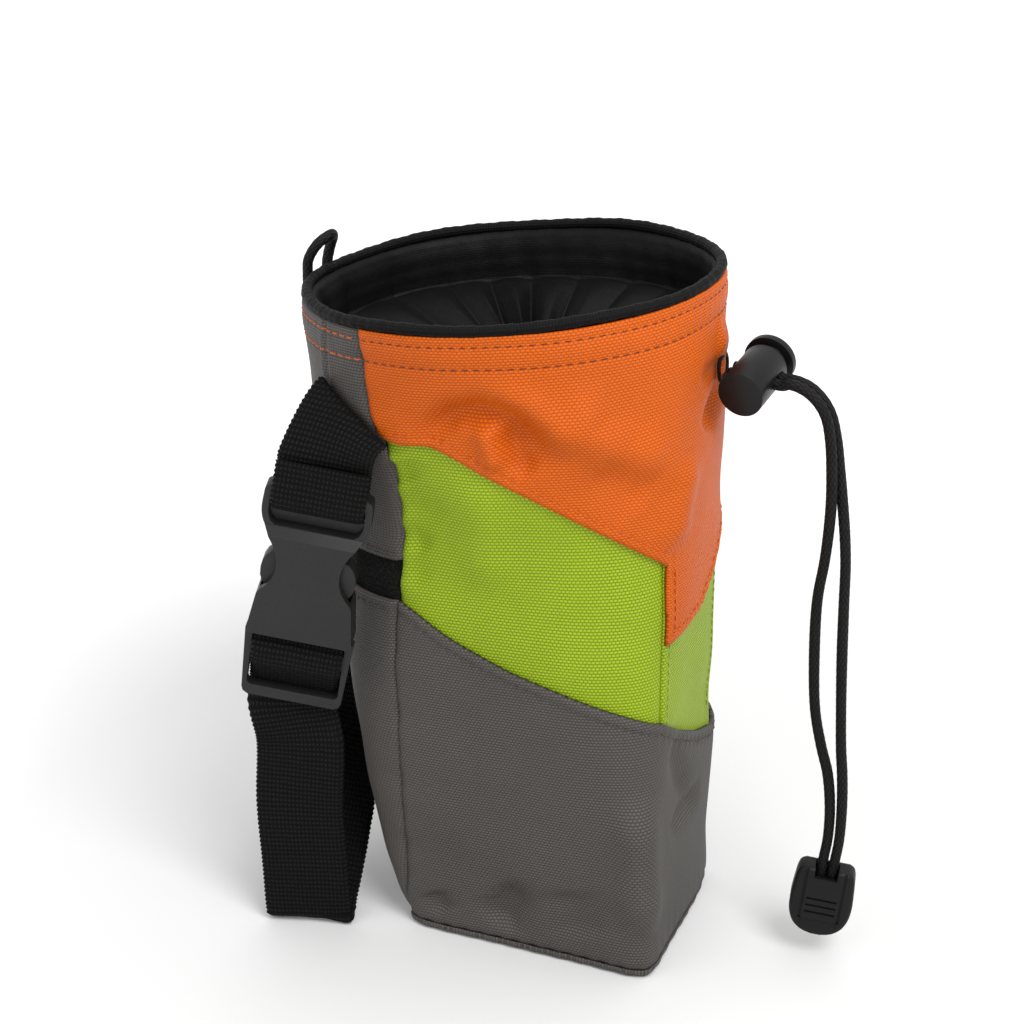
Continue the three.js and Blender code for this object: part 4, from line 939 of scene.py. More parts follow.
LOCK_RADIUS = 6.3
LOCK_LENGTH = 16.4
BUTTON_RADIUS = 7.1
HOLE_HALF_LONG = PAIR_HALF + CORD_DIAMETER / 2 + 0.3
HOLE_HALF_HIGH = CORD_DIAMETER / 2 + 0.3
lock_matrix = frame_matrix(LOCK_OUT, np.cross(LOCK_AXIS, LOCK_OUT), LOCK_AXIS, LOCK_START)


def cross_hole(extra):
    """The oval way through the lock, along its own x axis."""
    straight = HOLE_HALF_LONG - HOLE_HALF_HIGH
    outline = []
    for start, shift in ((math.pi / 2, extra + straight), (-math.pi / 2, -straight)):
        for k in range(13):
            angle = start - math.pi * k / 12
            outline.append((LOCK_HOLE_PLACE + shift + HOLE_HALF_HIGH * math.cos(angle),
                            HOLE_HALF_HIGH * math.sin(angle)))
    hole = prism(outline, -20, 20)
    hole.data.transform(Matrix(((0, 0, 1, 0), (0, 1, 0, 0), (1, 0, 0, 0), (0, 0, 0, 1))))
    hole.data.flip_normals()
    return hole


def make_lock():
    barrel = prism(round_outline(LOCK_RADIUS, 72), 0, LOCK_LENGTH)
    barrel = cut(barrel, prism(round_outline(LOCK_RADIUS - 1.2, 56), 2, LOCK_LENGTH + 1))
    barrel = cut(barrel, cross_hole(0))
    bevelled(barrel, 0.3, 3, 35)
    finished(barrel, "cord_lock_barrel", lock_matrix, LOCK)
    face = LOCK_LENGTH + 2.3
    button = prism(round_outline(LOCK_RADIUS - 1.4, 56), 4.3, face + 0.5)
    button = join(button, prism(round_outline(BUTTON_RADIUS, 72), face, face + 2.0))
    button = cut(button, prism(round_outline(BUTTON_RADIUS - 1.3, 64), face + 1.4, face + 3))
    button = cut(button, cross_hole(2.0))
    bevelled(button, 0.3, 3, 35)
    finished(button, "cord_lock_button", lock_matrix, LOCK, body="button")


def make_cord_end():
    outline = mirrored(curved_side([(6.3, -0.1), (7.6, -0.9), (8.2, -2.2), (8.75, -7.0),
                                    (9.0, -12.5), (8.5, -16.5), (7.0, -19.8), (4.4, -22.0),
                                    (1.4, -22.9)], 4))
    end = prism(outline, -3.5, 3.5)
    bevelled(end, 1.3, 4, 50)
    for face in (-1, 1):
        low, high = sorted((face * 2.75, face * 6.0))
        for side in (-1, 1):
            a, b = sorted((side * 5.1, side * 6.0))
            end = cut(end, box((a, -17.5, low), (b, 1, high)))
        for k in range(3):
            y = -10.6 - 2.3 * k
            groove = [(-4.4, y), (4.4, y), (4.4, y + 0.75), (-4.4, y + 0.75)]
            end = cut(end, prism(groove, low * 1.04, high))
        low, high = sorted((face * 3.05, face * 6.0))
        end = cut(end, prism([(-5.1, -17.2), (5.1, -17.2), (6.8, -24), (-6.8, -24)], low, high))
    end = cut(end, box((-HOLE_HALF_LONG, -END_RECESS, -HOLE_HALF_HIGH),
                       (HOLE_HALF_LONG, 5, HOLE_HALF_HIGH)))
    notch = prism(mirrored([(3.3, -3.2), (3.3, 1.0)]), 0, 6)
    end = cut(end, notch)
    bevelled(end, 0.22, 2, 35)
    matrix = frame_matrix(END_ACROSS, END_UP, END_FACING, END_TOP)
    return finished(end, "cord_end", matrix, END)


make_socket()
make_plug()
make_lock()
cord_end = make_cord_end()


# Cloth panels
HEM_STEP = 0.01


def laid_line(rows):
    """A hem on the laid-out cloth as arc and mm of height."""
    places = np.arange(-2, 2 + HEM_STEP / 2, HEM_STEP)
    heights = rows(places)
    return np.stack([arc_of_place(places, heights), heights * RIM_HEIGHT], 1)


orange_line = laid_line(orange_hem)
grey_line = laid_line(grey_hem)


SEAM_REACH = 1.1
SEAM_DEPTH = 0.8


def seam_dip(arc, height, pucker=0.4):
    """The cloth turns in at the side seams, with small puckers beside them."""
    distance = np.abs(np.abs(arc) - seam_arc(height))
    dip = SEAM_DEPTH * bell(distance, SEAM_REACH)
    waves = np.sin(height * RIM_HEIGHT / 2.6 + np.sign(arc) * 1.7) * np.sin(height * 31)
    return -dip + pucker * waves * np.exp(-distance / 5.0)


def hem_relief(distance, along, fold=0.35, stitch=3.0):
    """A turned hem: rounded edge, double layer, and a groove where it is sewn."""
    edge = -0.45 * bell(distance, 0.7)
    layer = fold * np.clip(1 - (distance - stitch) / 1.5, 0, 1)
    groove = -0.38 * bell(distance - stitch, 0.75)
    pucker = 0.10 * np.sin(along * 1.9) * bell(distance - stitch, 2.2)
    return edge + layer + groove + pucker


RIM_SEAMS = (4.4, 10.8)


def rim_relief(arc, height):
    drop = (1 - height) * RIM_HEIGHT
    relief = -0.8 * bell(drop, 1.3)
    for place in RIM_SEAMS:
        relief -= 0.34 * bell(drop - place, 0.75)
        relief += 0.10 * np.sin(arc * 1.9 + place) * bell(drop - place, 2.5)
    return relief + 0.18 * bell(drop - 7.5, 3.0)


def orange_relief(arc, height):
    distance = line_distance(arc, height * RIM_HEIGHT, orange_line)
    return hem_relief(distance, arc) + rim_relief(arc, height) + seam_dip(arc, height)


def grey_relief(arc, height):
    distance = line_distance(arc, height * RIM_HEIGHT, grey_line)
    base = -0.7 * bell(height * RIM_HEIGHT, 1.2)
    puckers = 0.14 * np.sin(arc * 1.15) * np.exp(-height * RIM_HEIGHT / 5.0)
    return hem_relief(distance, arc, 0.3) + seam_dip(arc, height) + base + puckers


def uncovered(arc, height):
    """1 where the green cloth shows, falling to 0 just inside the two hems."""
    y = height * RIM_HEIGHT
    place = np.interp(np.abs(arc), [0, FRONT_PANEL_HALF], [0, 1])
    share = (np.abs(arc) - FRONT_PANEL_HALF) / np.maximum(seam_arc(height) - FRONT_PANEL_HALF, 1)
    place = np.where(np.abs(arc) > FRONT_PANEL_HALF, 1 + share, place) * np.sign(arc)
    room = np.minimum(orange_hem(place) * RIM_HEIGHT - y, y - grey_hem(place) * RIM_HEIGHT)
    return np.clip((room - 1.5) / 5.0, 0, 1)


def green_relief(arc, height):
    edge = np.abs(np.abs(arc) - FRONT_PANEL_HALF)
    corner = -0.35 * bell(edge, 0.7)
    seam = np.abs(np.abs(arc) - seam_arc(height))
    raised = -INNER_OUT * bell(seam, 4.0) * uncovered(arc, height)
    return INNER_OUT + raised + seam_dip(arc, height, pucker=0.2) + corner


def front_green_relief(arc, height):
    edge = FRONT_PANEL_HALF - np.abs(arc)
    fold = 0.5 * np.clip(1 - (edge - 3.2) / 1.5, 0, 1) - 0.3 * bell(edge - 3.2, 0.7)
    fold -= 0.6 * bell(edge, 0.5)
    return INNER_OUT + fold


def back_relief(arc, height):
    signed = signed_arc(arc, total_at(height))
    distance = np.abs(height - BACK_PANEL_HEM) * RIM_HEIGHT
    seam = upright_seam(signed)
    hem = hem_relief(distance, arc, 0.2, 2.2)
    return hem + rim_relief(arc, height) + seam_dip(signed, height) + seam


UPRIGHT_SEAM_ARC = 125.5


def upright_seam(signed):
    """The seam that the belt's ends are sewn into, above the loop tape."""
    distance = np.abs(np.abs(signed) - UPRIGHT_SEAM_ARC)
    return -0.7 * bell(distance, 0.8) + 0.25 * bell(distance - 2.2, 1.2)


def pocket_relief(arc, height):
    signed = signed_arc(arc, total_at(height))
    distance = np.abs(height - POCKET_HEM) * RIM_HEIGHT
    base = -0.7 * bell(height * RIM_HEIGHT, 1.2)
    return hem_relief(distance, arc, 0.3, 3.0) + seam_dip(signed, height) + base


def tape_relief(arc, height):
    return INNER_OUT + 0.25 * np.sin(arc * 0.5) * np.sin(height * 60)


def trimmed_sheet(places, low, high, step):
    """A grid over the cloth whose edge rows are moved onto the hems. Returns heights, faces."""
    dt = step / RIM_HEIGHT
    lo, hi = low(places) / dt, high(places) / dt
    k0 = np.ceil(lo - 0.35).astype(int)
    k1 = np.floor(hi + 0.35).astype(int)
    bottom, top = k0.min(), k1.max()
    rows = top - bottom + 1
    heights = np.tile(np.arange(bottom, top + 1) * dt, (len(places), 1))
    columns = np.arange(len(places))
    heights[columns, k0 - bottom] = lo * dt
    heights[columns, k1 - bottom] = hi * dt
    k0, k1 = k0 - bottom, k1 - bottom
    faces = []
    for i in range(len(places) - 1):
        a, b = i * rows, (i + 1) * rows
        start, stop = max(k0[i], k0[i + 1]), min(k1[i], k1[i + 1])
        faces += [(a + k, b + k, b + k + 1, a + k + 1) for k in range(start, stop)]
        if abs(k0[i] - k0[i + 1]) <= 6:
            faces += [(a + k, b + k0[i + 1], a + k + 1) for k in range(k0[i], k0[i + 1])]
            faces += [(b + k, b + k + 1, a + k0[i]) for k in range(k0[i + 1], k0[i])]
        if abs(k1[i] - k1[i + 1]) <= 6:
            faces += [(a + k, b + k1[i + 1], a + k + 1) for k in range(k1[i + 1], k1[i])]
            faces += [(b + k, b + k + 1, a + k1[i]) for k in range(k1[i], k1[i + 1])]
    return heights, faces


SEAM_TRIM = 0.04


def cloth_panel(name, node, material, from_place, to_place, low, high, relief, width,
                step=1.0):
    """One panel with its thickness. relief gives how far out each point lies."""
    count = int(width / step) + 1
    places = np.linspace(from_place, to_place, count)
    heights, faces = trimmed_sheet(places, low, high, step)
    arcs = arc_of_place(places[:, None], heights)
    arcs[0] += SEAM_TRIM
    arcs[-1] -= SEAM_TRIM
    depth = relief(arcs, heights)
    outer = surface(arcs, heights, depth).reshape(-1, 3)
    inner = surface(arcs, heights, depth - CLOTH).reshape(-1, 3)
    used = np.unique([i for face in faces for i in face])
    renumber = np.full(len(outer), -1)
    renumber[used] = np.arange(len(used))
    faces = [tuple(renumber[list(face)]) for face in faces]
    outer, inner = outer[used], inner[used]
    count = len(used)
    laid = np.stack([arcs.ravel()[used], heights.ravel()[used] * RIM_HEIGHT], 1)
    uv = np.vstack([laid, laid])
    return make_object(name, np.vstack([outer, inner]), shelled(faces, count), material, uv=uv,
                       replaces=[node])


RIM_EDGE = 1 - 1.5 / RIM_HEIGHT
LAP = 8 / RIM_HEIGHT


def flat_hem(value):
    return lambda place: np.full(np.shape(place), value)


def held(rows, low, high, shift):
    return lambda place: rows(np.clip(place, low, high)) + shift


cloth_panel("orange_panel_cloth", "orange_panel", ORANGE, -2, 2, orange_hem,
            flat_hem(RIM_EDGE), orange_relief, 430, step=1.0)
cloth_panel("grey_panel_cloth", "grey_panel", GREY, -2, 2, flat_hem(0.0), grey_hem,
            grey_relief, 420, step=0.95)


def green_top(low, high):
    """The upper edge of a green piece, well under the orange hem, the step at its corner too."""
    rows = held(orange_hem, low + 0.005, high - 0.015, LAP)
    return lambda place: np.where(np.abs(place + 0.98) < 0.06, 0.665, rows(place))


for name, node, low, high, relief, width in [
        ("green_left_cloth", "green_side_left", -2, -1, green_relief, 84),
        ("green_front_cloth", "green_front", -1, 1, front_green_relief, 45),
        ("green_right_cloth", "green_side_right", 1, 2, green_relief, 84)]:
    cloth_panel(name, node, GREEN, low, high,
                held(grey_hem, low + 0.005, high - 0.015, -LAP),
                green_top(low, high), relief, width, step=0.8)
cloth_panel("back_panel_cloth", "back_panel", GREY, 2, 4, flat_hem(BACK_PANEL_HEM),
            flat_hem(RIM_EDGE), back_relief, 125)
cloth_panel("pocket_panel_cloth", "pocket_panel", GREY, 2, 4, flat_hem(0.0),
            flat_hem(POCKET_HEM), pocket_relief, 105)
cloth_panel("pocket_tape_cloth", "pocket_tape", TAPE, 2, 4,
            flat_hem(POCKET_HEM - 0.03), flat_hem(BACK_PANEL_HEM + 0.03), tape_relief, 105)


def make_base():
    """The base: a turned edge up to the seam, a rounded corner and a flat underside."""
    sides = 420
    arcs = np.arange(sides) / sides * TOTALS[0]
    profile = [(1.4, 2.3), (0.55, 2.75), (0.3, 2.5), (0.3, 1.9), (0.5, 1.2), (1.0, 0.6),
               (1.8, 0.2), (2.8, 0.0), (5.0, 0.0), (6.0, 0.12), (7.0, 0.0), (12.0, 0.0),
               (20.0, 0.0), (30.0, 0.0)]
    rings = []
    for inset, z in profile:
        ring = surface(arcs, 0.0, -inset)
        ripple = 0.12 * np.sin(arcs * 0.9) if 0.1 < z < 2.6 else 0.0
        ring[:, :2] *= 1 + (ripple[:, None] if np.ndim(ripple) else 0) / 40
        ring[:, 2] = z
        rings.append(ring)
    points = np.stack(rings, 1).reshape(-1, 3)
    rows = len(profile)
    faces = [tuple(reversed(face)) for face in grid_faces(sides, rows, joined=True)]
    centre = len(points)
    points = np.vstack([points, [[0, 0, 0]]])
    faces += [(i * rows + rows - 1, centre, ((i + 1) % sides) * rows + rows - 1)
              for i in range(sides)]
    uv = points[:, :2].copy()
    return make_object("base_panel_cloth", points, faces, GREY, uv=uv,
                       replaces=["base_panel"])


make_base()


# Rim and lining
def rim_point(share, out, drop):
    point = surface(share * TOTALS[-1], 1.0, out)
    point[..., 2] -= drop
    return point


def make_binding():
    steps, sides = 700, 20
    share = np.arange(steps) / steps
    angle = full_turn(sides)
    arcs = share * TOTALS[-1]
    swell = 1 + 0.05 * np.sin(arcs * 0.71) + 0.04 * np.sin(arcs * 1.9)
    radius = PIPING_RADIUS * swell[:, None]
    points = rim_point(share[:, None], -PIPING_RADIUS + radius * np.cos(angle),
                       -radius * np.sin(angle) * 1.05)
    lean = 0.25 * np.sin(arcs * 0.11)
    points[..., 2] += lean[:, None]
    faces = grid_faces(steps, sides, joined=True)
    points = points.reshape(-1, 3)
    seam = [(i * sides + sides - 1, ((i + 1) % steps) * sides + sides - 1,
             ((i + 1) % steps) * sides, i * sides) for i in range(steps)]
    uv = np.stack(np.broadcast_arrays(arcs[:, None], (angle * PIPING_RADIUS)[None, :]), -1)
    uv = uv.reshape(-1, 2)
    return make_object("rim_binding_cloth", points, faces + seam, BINDING, uv=uv,
                       wrap=TOTALS[-1], replaces=["rim_piping"])


make_binding()

COLLAR_OUT = -(2 * PIPING_RADIUS + 0.3 + CLOTH)
COLLAR_DEPTH = 15.0
FUNNEL_DEPTH = 29.0
HOLE_RADIUS = 8.0
PLEATS = 21
PLEAT_DEPTH = 6.0
FUNNEL_MIDDLE = np.array([RIM_SHIFT, 9.0])
LINING_STEPS = 640
COLLAR_ROWS = 12
FUNNEL_ROWS = 46
NECK_ROWS = 8
LINING_CLOTH = 0.35


def make_lining():
    """Collar inside the wall, then cloth drawn in to a small neck in pleats."""
    steps = LINING_STEPS
    turn = np.arange(steps) / steps
    collar_share = COLLAR_DEPTH / RIM_HEIGHT
    top = rim_point(turn, -2.0, 0.5)
    lower_arc = turn * total_at(1 - collar_share)
    middle = FUNNEL_MIDDLE
    neck_z = RIM_HEIGHT - RIM_SLOPE_BACK * middle[1] - FUNNEL_DEPTH
    angle = 2 * math.pi * turn
    phase = PLEATS * angle + 0.9 * np.sin(3 * angle + 0.8) + 0.7 * np.sin(5 * angle + 2.1)
    fold = np.abs(np.sin(phase / 2)) ** 0.75
    uneven = 0.75 + 0.25 * np.sin(4 * angle + 1.0) + 0.18 * np.sin(7 * angle)
    fine = np.sin(phase * 2.3 + 1.1 * np.sin(4 * angle))
    gathered = bell(turn - 0.53, 0.13)
    columns = [top, rim_point(turn, -2.7, 1.3)]
    for k in range(1, COLLAR_ROWS + 1):
        share = k / COLLAR_ROWS
        height = 1 - collar_share * share - 0.004
        gather = share ** 3
        out = COLLAR_OUT * min(1, 0.72 + 0.28 * share * 3) - 0.5 * gather * (fold - 0.5)
        out = out - 1.5 * gathered * min(1, 1.6 * share) * (fold - 0.6)
        out = out + 0.12 * np.sin(turn * 211 + 3 * share)
        if k == 8:
            out = out - 0.25
        columns.append(surface(turn * total_at(height), height, out))
    collar = surface(lower_arc, 1 - collar_share, COLLAR_OUT)
    spoke = collar[:, :2] - middle
    reach = np.linalg.norm(spoke, axis=1)
    spoke = spoke / reach[:, None]
    rows = FUNNEL_ROWS
    for j in range(1, rows + 1):
        share = j / rows
        radius = reach + (HOLE_RADIUS - 1.5 - reach) * share
        drop = share ** 1.15
        z = collar[:, 2] + (neck_z - collar[:, 2]) * drop
        z = z + 2.2 * math.sin(math.pi * min(share * 1.6, 1)) * 0.5
        swell = math.sin(math.pi * min(share, 0.72) / 1.44) ** 0.8
        depth = 0.6 + PLEAT_DEPTH * swell * (1 - 0.55 * share ** 3)
        z = z - depth * (1 - fold) * uneven + 0.25 * fine * share
        swirl = 0.05 * share * np.sin(phase + 0.6)
        direction = np.stack([spoke[:, 0] - spoke[:, 1] * swirl,
                              spoke[:, 1] + spoke[:, 0] * swirl], 1)
        columns.append(np.c_[middle + direction * radius[:, None], z])
    for j in range(1, NECK_ROWS + 1):
        share = j / NECK_ROWS
        radius = HOLE_RADIUS - 1.5 - 1.3 * math.sin(math.pi * share / 2) + 0.8 * (fold - 0.5)
        z = neck_z - 9.0 * share - (1 - fold) * 2.4 * (1 - share)
        columns.append(np.c_[middle + spoke * radius[:, None], np.broadcast_to(z, (steps,))])
    grid = np.stack(columns, 1)
    rows = grid.shape[1]
    spans = np.linalg.norm(np.diff(grid, axis=1), axis=2).mean(axis=0)
    down = np.r_[0, np.cumsum(spans)]
    uv = np.stack(np.broadcast_arrays((turn * 320)[:, None], down[None, :]), -1).reshape(-1, 2)
    faces = grid_faces(steps, rows, joined=True)
    front = grid.reshape(-1, 3)
    along = np.roll(grid, -1, axis=0) - np.roll(grid, 1, axis=0)
    up = np.gradient(grid, axis=1)
    normal = unit(np.cross(along, up))
    back = (grid - normal * LINING_CLOTH).reshape(-1, 3)
    faces = shelled(faces, len(front))
    return make_object("lining_cloth", np.vstack([front, back]), faces, LINING,
                       uv=np.vstack([uv, uv]), wrap=320,
                       replaces=["lining_collar", "closure"])


make_lining()


# Webbing
ANCHOR_GAP = 0.5
ANCHOR_ARC = 126.0
ANCHOR_TOP = 0.906
ANCHOR_BOTTOM = 0.784
UPPER_ROUTE = [
    (-9, -0.2), (-4.5, -2.1), (0, -3.55), (4.6, -3.45), (7.2, -1.2), (7.2, 1.2),
    (4.6, 3.45), (0, 3.55), (-3.5, 2.7), (-7.5, 2.1),
]


def anchor_point(arc, share):
    height = ANCHOR_TOP + (ANCHOR_BOTTOM - ANCHOR_TOP) * share
    return surface(arc, height, ANCHOR_GAP + WEB_THICKNESS / 2)


def outward_at(arc):
    height = (ANCHOR_TOP + ANCHOR_BOTTOM) / 2
    way = surface(arc, height, 10.0) - surface(arc, height, 0.0)
    way[2] = 0
    return unit(way)


def web_sheet(name, grid, replaces, laid=None):
    """Webbing round a middle grid: first index along the band, second across it."""
    along_count, across_count = grid.shape[:2]
    along = np.gradient(grid, axis=0)
    across = np.gradient(grid, axis=1)
    normal = unit(np.cross(along, across))
    if laid is None:
        middle = grid[:, across_count // 2]
        lengths = run_lengths(middle)
        laid = np.tile(lengths[:, None], (1, across_count))
    share = np.linspace(-1, 1, across_count)
    profile = np.sqrt(np.maximum(1 - np.abs(share) ** 14, 0)) * 0.88 + 0.12
    rib = 0.10 * np.cos(2 * math.pi * laid / 1.5)
    half = WEB_THICKNESS / 2 * profile[None, :] + rib
    outward = unit(across)
    bulge = np.zeros((along_count, across_count))
    bulge[:, 0] = -0.16 * (1 + np.cos(2 * math.pi * laid[:, 0] / 1.5))
    bulge[:, -1] = 0.16 * (1 + np.cos(2 * math.pi * laid[:, -1] / 1.5))
    middle = grid + outward * bulge[..., None]
    front = middle + normal * half[..., None]
    back = middle - normal * half[..., None]
    size = along_count * across_count
    faces = grid_faces(along_count, across_count)
    faces = shelled(faces, size)
    flat = np.stack(np.broadcast_arrays(share[None, :] * WEB_WIDTH / 2, laid), -1)
    uv = np.vstack([flat.reshape(-1, 2)] * 2)
    points = np.vstack([front.reshape(-1, 3), back.reshape(-1, 3)])
    return make_object(name, points, faces, WEBBING, uv=uv, replaces=replaces)


def resampled(grid, step):
    """The grid with even steps along its middle line."""
    lengths = run_lengths(grid[:, grid.shape[1] // 2])
    count = int(lengths[-1] / step)
    places = np.linspace(0, lengths[-1], count + 1)
    return np.stack([at_lengths(places, lengths, grid[:, j]) for j in range(grid.shape[1])], 1)


BELT_FOLD_ARC = 101.5
BELT_FOLD_BOTTOM = 0.825
FOLD_RISE = 1.3


def between(low, high, share):
    return low + (high - low) * share


def upper_edge_line(share):
    """One thread of the upper belt, from the seam over the fold and round the buckle's bar."""
    layer_out = ANCHOR_GAP + WEB_THICKNESS / 2
    fold_arc = between(-ANCHOR_ARC, -BELT_FOLD_ARC, share)
    fold_height = between(ANCHOR_TOP, BELT_FOLD_BOTTOM, share)
    seam_height = between(ANCHOR_TOP, ANCHOR_BOTTOM, share)
    seam = anchor_point(-ANCHOR_ARC, share)
    under = surface(between(-ANCHOR_ARC, fold_arc, 0.6), between(seam_height, fold_height, 0.6),
                    layer_out)
    tip = surface(fold_arc + FOLD_RISE / 2, fold_height, layer_out + FOLD_RISE)
    across = between(WEB_WIDTH / 2, -WEB_WIDTH / 2, share)
    strap = [on_buckle(across, along, facing) for along, facing in UPPER_ROUTE]
    over = tip + (strap[0] - tip) * 0.25 + outward_at(-ANCHOR_ARC) * FOLD_RISE
    return spline([seam, under, tip, over, *strap], np.linspace(0, 1, 700))


def make_upper_strap():
    grid = np.stack([upper_edge_line(share) for share in np.linspace(0, 1, 33)], 1)
    grid = resampled(grid, 0.3)
    steps = np.linalg.norm(np.diff(grid, axis=0), axis=2)
    from_end = np.vstack([np.cumsum(steps[::-1], axis=0)[::-1], np.zeros(grid.shape[1])])
    return web_sheet("strap_upper_webbing", grid, ["strap_upper"], from_end)


def band_grid(rows, samples, across_count):
    rows = np.asarray(rows, float)
    share = np.linspace(0, 1, samples)
    middle = spline(rows[:, :3], share)
    tangent = unit(np.gradient(middle, axis=0))
    place = share * (len(rows) - 1)
    k = np.minimum(place.astype(int), len(rows) - 2)
    w = place - k
    w = (w * w * (3 - 2 * w))[:, None]
    across = rows[k, 3:] * (1 - w) + rows[k + 1, 3:] * w
    across = unit(across - tangent * np.sum(across * tangent, axis=1, keepdims=True))
    offsets = np.linspace(-WEB_WIDTH / 2, WEB_WIDTH / 2, across_count)
    return middle[:, None, :] + across[:, None, :] * offsets[None, :, None]


def buckle_rows(places):
    return [(*on_buckle(0, along, facing), *BUCKLE_ACROSS) for along, facing in places]


WEB_CLEAR = 1.6 + 0.3 + WEB_THICKNESS / 2
TAIL_FACING = -(WEB_CLEAR + WEB_THICKNESS + 0.7)


def make_lower_strap():
    slot_middle = (FRAME_TOP + 0.2 + BAR_START) / 2 + 0.2
    bar_middle = (BAR_START + BAR_END) / 2
    outer_middle = (BAR_END + CROSS_START) / 2
    floor_width = (-0.289, 0.957, 0)
    anchor = surface(ANCHOR_ARC, (ANCHOR_TOP + ANCHOR_BOTTOM) / 2, ANCHOR_GAP)
    turn = anchor + outward_at(ANCHOR_ARC) * 5
    rows = buckle_rows([
        (FRAME_END - 3, TAIL_FACING), (BAR_END + 3, TAIL_FACING),
        (BAR_START + 1, TAIL_FACING + 0.5), (slot_middle, -1.6), (slot_middle + 0.1, 1),
        (BAR_START + 0.8, WEB_CLEAR + 0.25), (bar_middle, WEB_CLEAR + 0.4),
        (BAR_END + 0.4, WEB_CLEAR - 0.1), (outer_middle - 1.6, 0.5), (CROSS_START - 1.4, -1.9),
        (CROSS_START + 1, -WEB_CLEAR - 0.2), (FRAME_END + 3, -WEB_CLEAR - 0.1)])
    rows += [
        (-44.9, 64.6, 64, *floor_width), (-44.6, 65.8, 42, *floor_width),
        (-43.8, 65.4, 20, *floor_width), (-43.4, 65.2, 6, *floor_width),
        (-42.8, 65.2, 2.5, *floor_width), (-41.0, 65.4, 1.8, *floor_width),
        (-39.4, 65.5, 2.5, *floor_width), (-36.8, 66.1, 5.4, *floor_width),
        (-30, 67, 13, -0.40, 0.91, 0.05), (-20, 68, 25, -0.62, 0.78, 0.10),
        (-10, 68, 40, -0.85, 0.50, 0.20), (0, 67.5, 55, -0.90, 0.25, 0.35),
        (11, 67.5, 76, -0.88, 0.10, 0.46), (21, 69, 100, -0.82, -0.02, 0.57),
        (29, 72, 128, -0.65, -0.08, 0.75), (37, 71, 153, -0.45, -0.10, 0.88),
        (*turn, -0.1, -0.05, 0.99), (*anchor, 0, 0, 1)]
    grid = resampled(band_grid(rows, 3000, 25), 0.35)
    grid = grid[:, ::-1]
    return web_sheet("strap_lower_webbing", grid, ["strap_lower"])


make_upper_strap()
make_lower_strap()


# Haul loop and eyelet
def haul_point(arc, rise, lean):
    point = surface(TOTALS[-1] / 2 - 2.0 + arc, 1.0, 2.2 - lean)
    point[2] += rise
    return point


def make_haul_loop():
    foot_arc, foot_depth, height, lean = 5.0, 6.0, 9.8, 4.6
    rows = [(-1, 0, 0), (-1.1, 0.45, 0.15), (-0.8, 0.85, 0.65), (0, 1, 1),
            (0.8, 0.85, 0.65), (1.1, 0.45, 0.15), (1, 0, 0)]
    points = [haul_point(-foot_arc, -foot_depth, 0)]
    points += [haul_point(side * foot_arc, rise * height, tip * lean) for side, rise, tip in rows]
    points.append(haul_point(foot_arc, -foot_depth, 0))
    route = spline(points, np.linspace(0, 1, 500))
    braided_tube("haul_loop_braid", route, ["haul_loop"])


def make_eyelet():
    height = 0.866
    arc = (PAIR_MIDDLE - 8 * LOCK_OUT)[0] - RIM_SHIFT * smooth_column(LEVELS, 6, height) / -5.6
    middle = surface(arc, height, 0.45)
    facing = unit(surface(arc, height, 3.0) - surface(arc, height, 0.0))
    right = unit(np.cross([0, 0, 1], facing))
    up = np.cross(facing, right)
    rings, sides = 90, 16
    around = full_turn(rings)
    straight = HOLE_HALF_LONG - HOLE_HALF_HIGH
    reach = HOLE_HALF_HIGH + 1.3
    shift = np.sign(np.cos(around)) * straight * np.minimum(1, np.abs(np.cos(around)) * 3)
    x = shift + reach * np.cos(around)
    y = reach * np.sin(around)
    path = middle + right * x[:, None] + up * y[:, None]
    tangent = unit(np.roll(path, -1, axis=0) - np.roll(path, 1, axis=0))
    side = np.cross(tangent, facing)
    angle = full_turn(sides)
    points = (path[:, None, :] + side[:, None, :] * (0.8 * np.cos(angle))[None, :, None]
              + facing * (0.5 * np.sin(angle))[None, :, None])
    i, k = np.meshgrid(np.arange(rings), np.arange(sides), indexing="ij")
    n, m = (i + 1) % rings, (k + 1) % sides
    faces = np.stack([i * sides + k, i * sides + m, n * sides + m, n * sides + k], -1)
    faces = faces.reshape(-1, 4)
    uv = np.stack(np.broadcast_arrays(around[:, None] * 4, angle[None, :]), -1).reshape(-1, 2)
    make_object("cord_eyelet_binding", points.reshape(-1, 3), faces.tolist(), BINDING, uv=uv,
                replaces=["cord_eyelet"])


make_haul_loop()
make_eyelet()


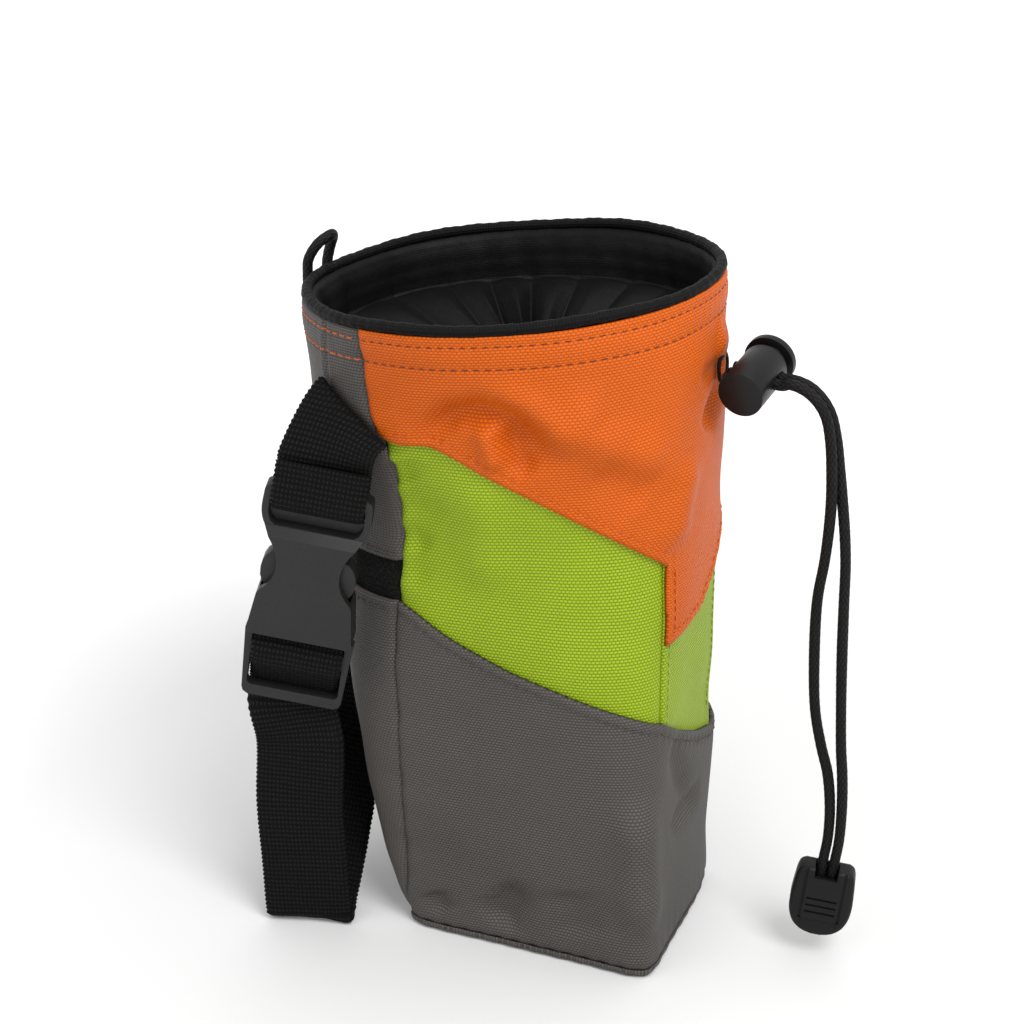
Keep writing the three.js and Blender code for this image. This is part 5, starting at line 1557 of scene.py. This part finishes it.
# Stitches
class Stitching:
    """Runs of thread stitches, gathered into one mesh."""

    def __init__(self):
        self.points = []
        self.faces = []
        self.count = 0

    def stitch(self, centre_line, normals, radius, lift):
        rings, sides = len(centre_line), 6
        tangent = unit(np.gradient(centre_line, axis=0))
        side = unit(np.cross(tangent, normals))
        share = np.linspace(0, 1, rings)
        rise = lift * np.sin(math.pi * share) ** 0.5 - radius * 0.9
        fat = radius * (0.75 + 0.25 * np.sin(math.pi * share))
        angle = full_turn(sides)
        ring = (side[:, None, :] * np.cos(angle)[None, :, None]
                + normals[:, None, :] * np.sin(angle)[None, :, None])
        lifted = centre_line[:, None, :] + normals[:, None, :] * rise[:, None, None]
        points = lifted + ring * fat[:, None, None]
        self.points.append(points.reshape(-1, 3))
        base = self.count
        for i in range(rings - 1):
            for k in range(sides):
                n = (k + 1) % sides
                self.faces.append((base + i * sides + k, base + (i + 1) * sides + k,
                                   base + (i + 1) * sides + n, base + i * sides + n))
        self.faces.append(tuple(base + k for k in range(sides)))
        self.faces.append(tuple(base + (rings - 1) * sides + k for k in reversed(range(sides))))
        self.count += rings * sides

    def run(self, arcs, heights, relief, pitch=3.2, length=2.5, radius=0.24, lift=0.3):
        """Stitches along a line on the cloth, given as arc and height share."""
        depth = relief(arcs, heights)
        line = surface(arcs, heights, depth + 0.12)
        outer = unit(surface(arcs, heights, depth + 1.12) - line)
        lengths = run_lengths(line)
        start = 0.4
        while start + length < lengths[-1]:
            places = np.linspace(start, start + length, 6)
            centre = at_lengths(places, lengths, line)
            normal = unit(at_lengths(places, lengths, outer))
            self.stitch(centre, normal, radius, lift)
            start += pitch

    def made(self, name, material):
        return make_object(name, np.vstack(self.points), self.faces, material)


def rim_run(stitching, from_place, to_place, drop, relief, **sizes):
    height = 1 - drop / RIM_HEIGHT
    places = np.linspace(from_place, to_place, 900)
    arcs = arc_of_place(places, np.full(len(places), height))
    stitching.run(arcs, np.full(len(arcs), height), relief, **sizes)


def hem_run(stitching, rows, from_place, to_place, away, relief, **sizes):
    places = np.linspace(from_place, to_place, 600)
    heights = rows(places)
    arcs = arc_of_place(places, heights)
    slope = np.gradient(heights * RIM_HEIGHT) / np.maximum(np.abs(np.gradient(arcs)), 1e-6)
    lean = 1 / np.sqrt(1 + slope ** 2)
    arcs = arcs - away * slope * lean
    heights = heights + away * lean / RIM_HEIGHT
    stitching.run(arcs, heights, relief, **sizes)


FINE = {"pitch": 2.7, "length": 2.0, "radius": 0.2}
# The rim rows on the orange cloth use the dark thread: painted shade in the stitch holes.
brown = Stitching()
for drop in RIM_SEAMS:
    rim_run(brown, -1.99, 1.99, drop, orange_relief, pitch=3.0, length=2.0, radius=0.2, lift=0.15)
brown.made("orange_rim_stitches", SHADED_ORANGE_THREAD)
orange = Stitching()
for drop in RIM_SEAMS:
    rim_run(orange, 2.01, 3.99, drop, back_relief, pitch=3.3, length=2.7)
hem_run(orange, orange_hem, -1.95, -1.03, 3.0, orange_relief, **FINE)
hem_run(orange, orange_hem, -0.93, 1.95, 3.0, orange_relief, **FINE)
corner_arc = np.full(80, -FRONT_PANEL_HALF + 3.2)
orange.run(corner_arc, np.linspace(0.52, 0.615, 80), orange_relief, **FINE)
orange.made("orange_stitches", ORANGE_THREAD)
grey = Stitching()
hem_run(grey, grey_hem, -1.98, 1.98, -3.0, grey_relief, **FINE)
pocket_places = np.linspace(2.02, 3.98, 500)
pocket_heights = np.full(500, POCKET_HEM - 3.0 / RIM_HEIGHT)
grey.run(arc_of_place(pocket_places, pocket_heights), pocket_heights, pocket_relief, **FINE)
tape_heights = np.full(500, BACK_PANEL_HEM + 2.2 / RIM_HEIGHT)
grey.run(arc_of_place(pocket_places, tape_heights), tape_heights, back_relief, **FINE)
grey.made("grey_stitches", GREY_THREAD)
green = Stitching()
for side in (-1, 1):
    heights = np.linspace(0.30, 0.55, 200)
    green.run(np.full(200, side * (FRONT_PANEL_HALF - 3.2)), heights, front_green_relief, **FINE)
green.made("green_stitches", GREEN_THREAD)
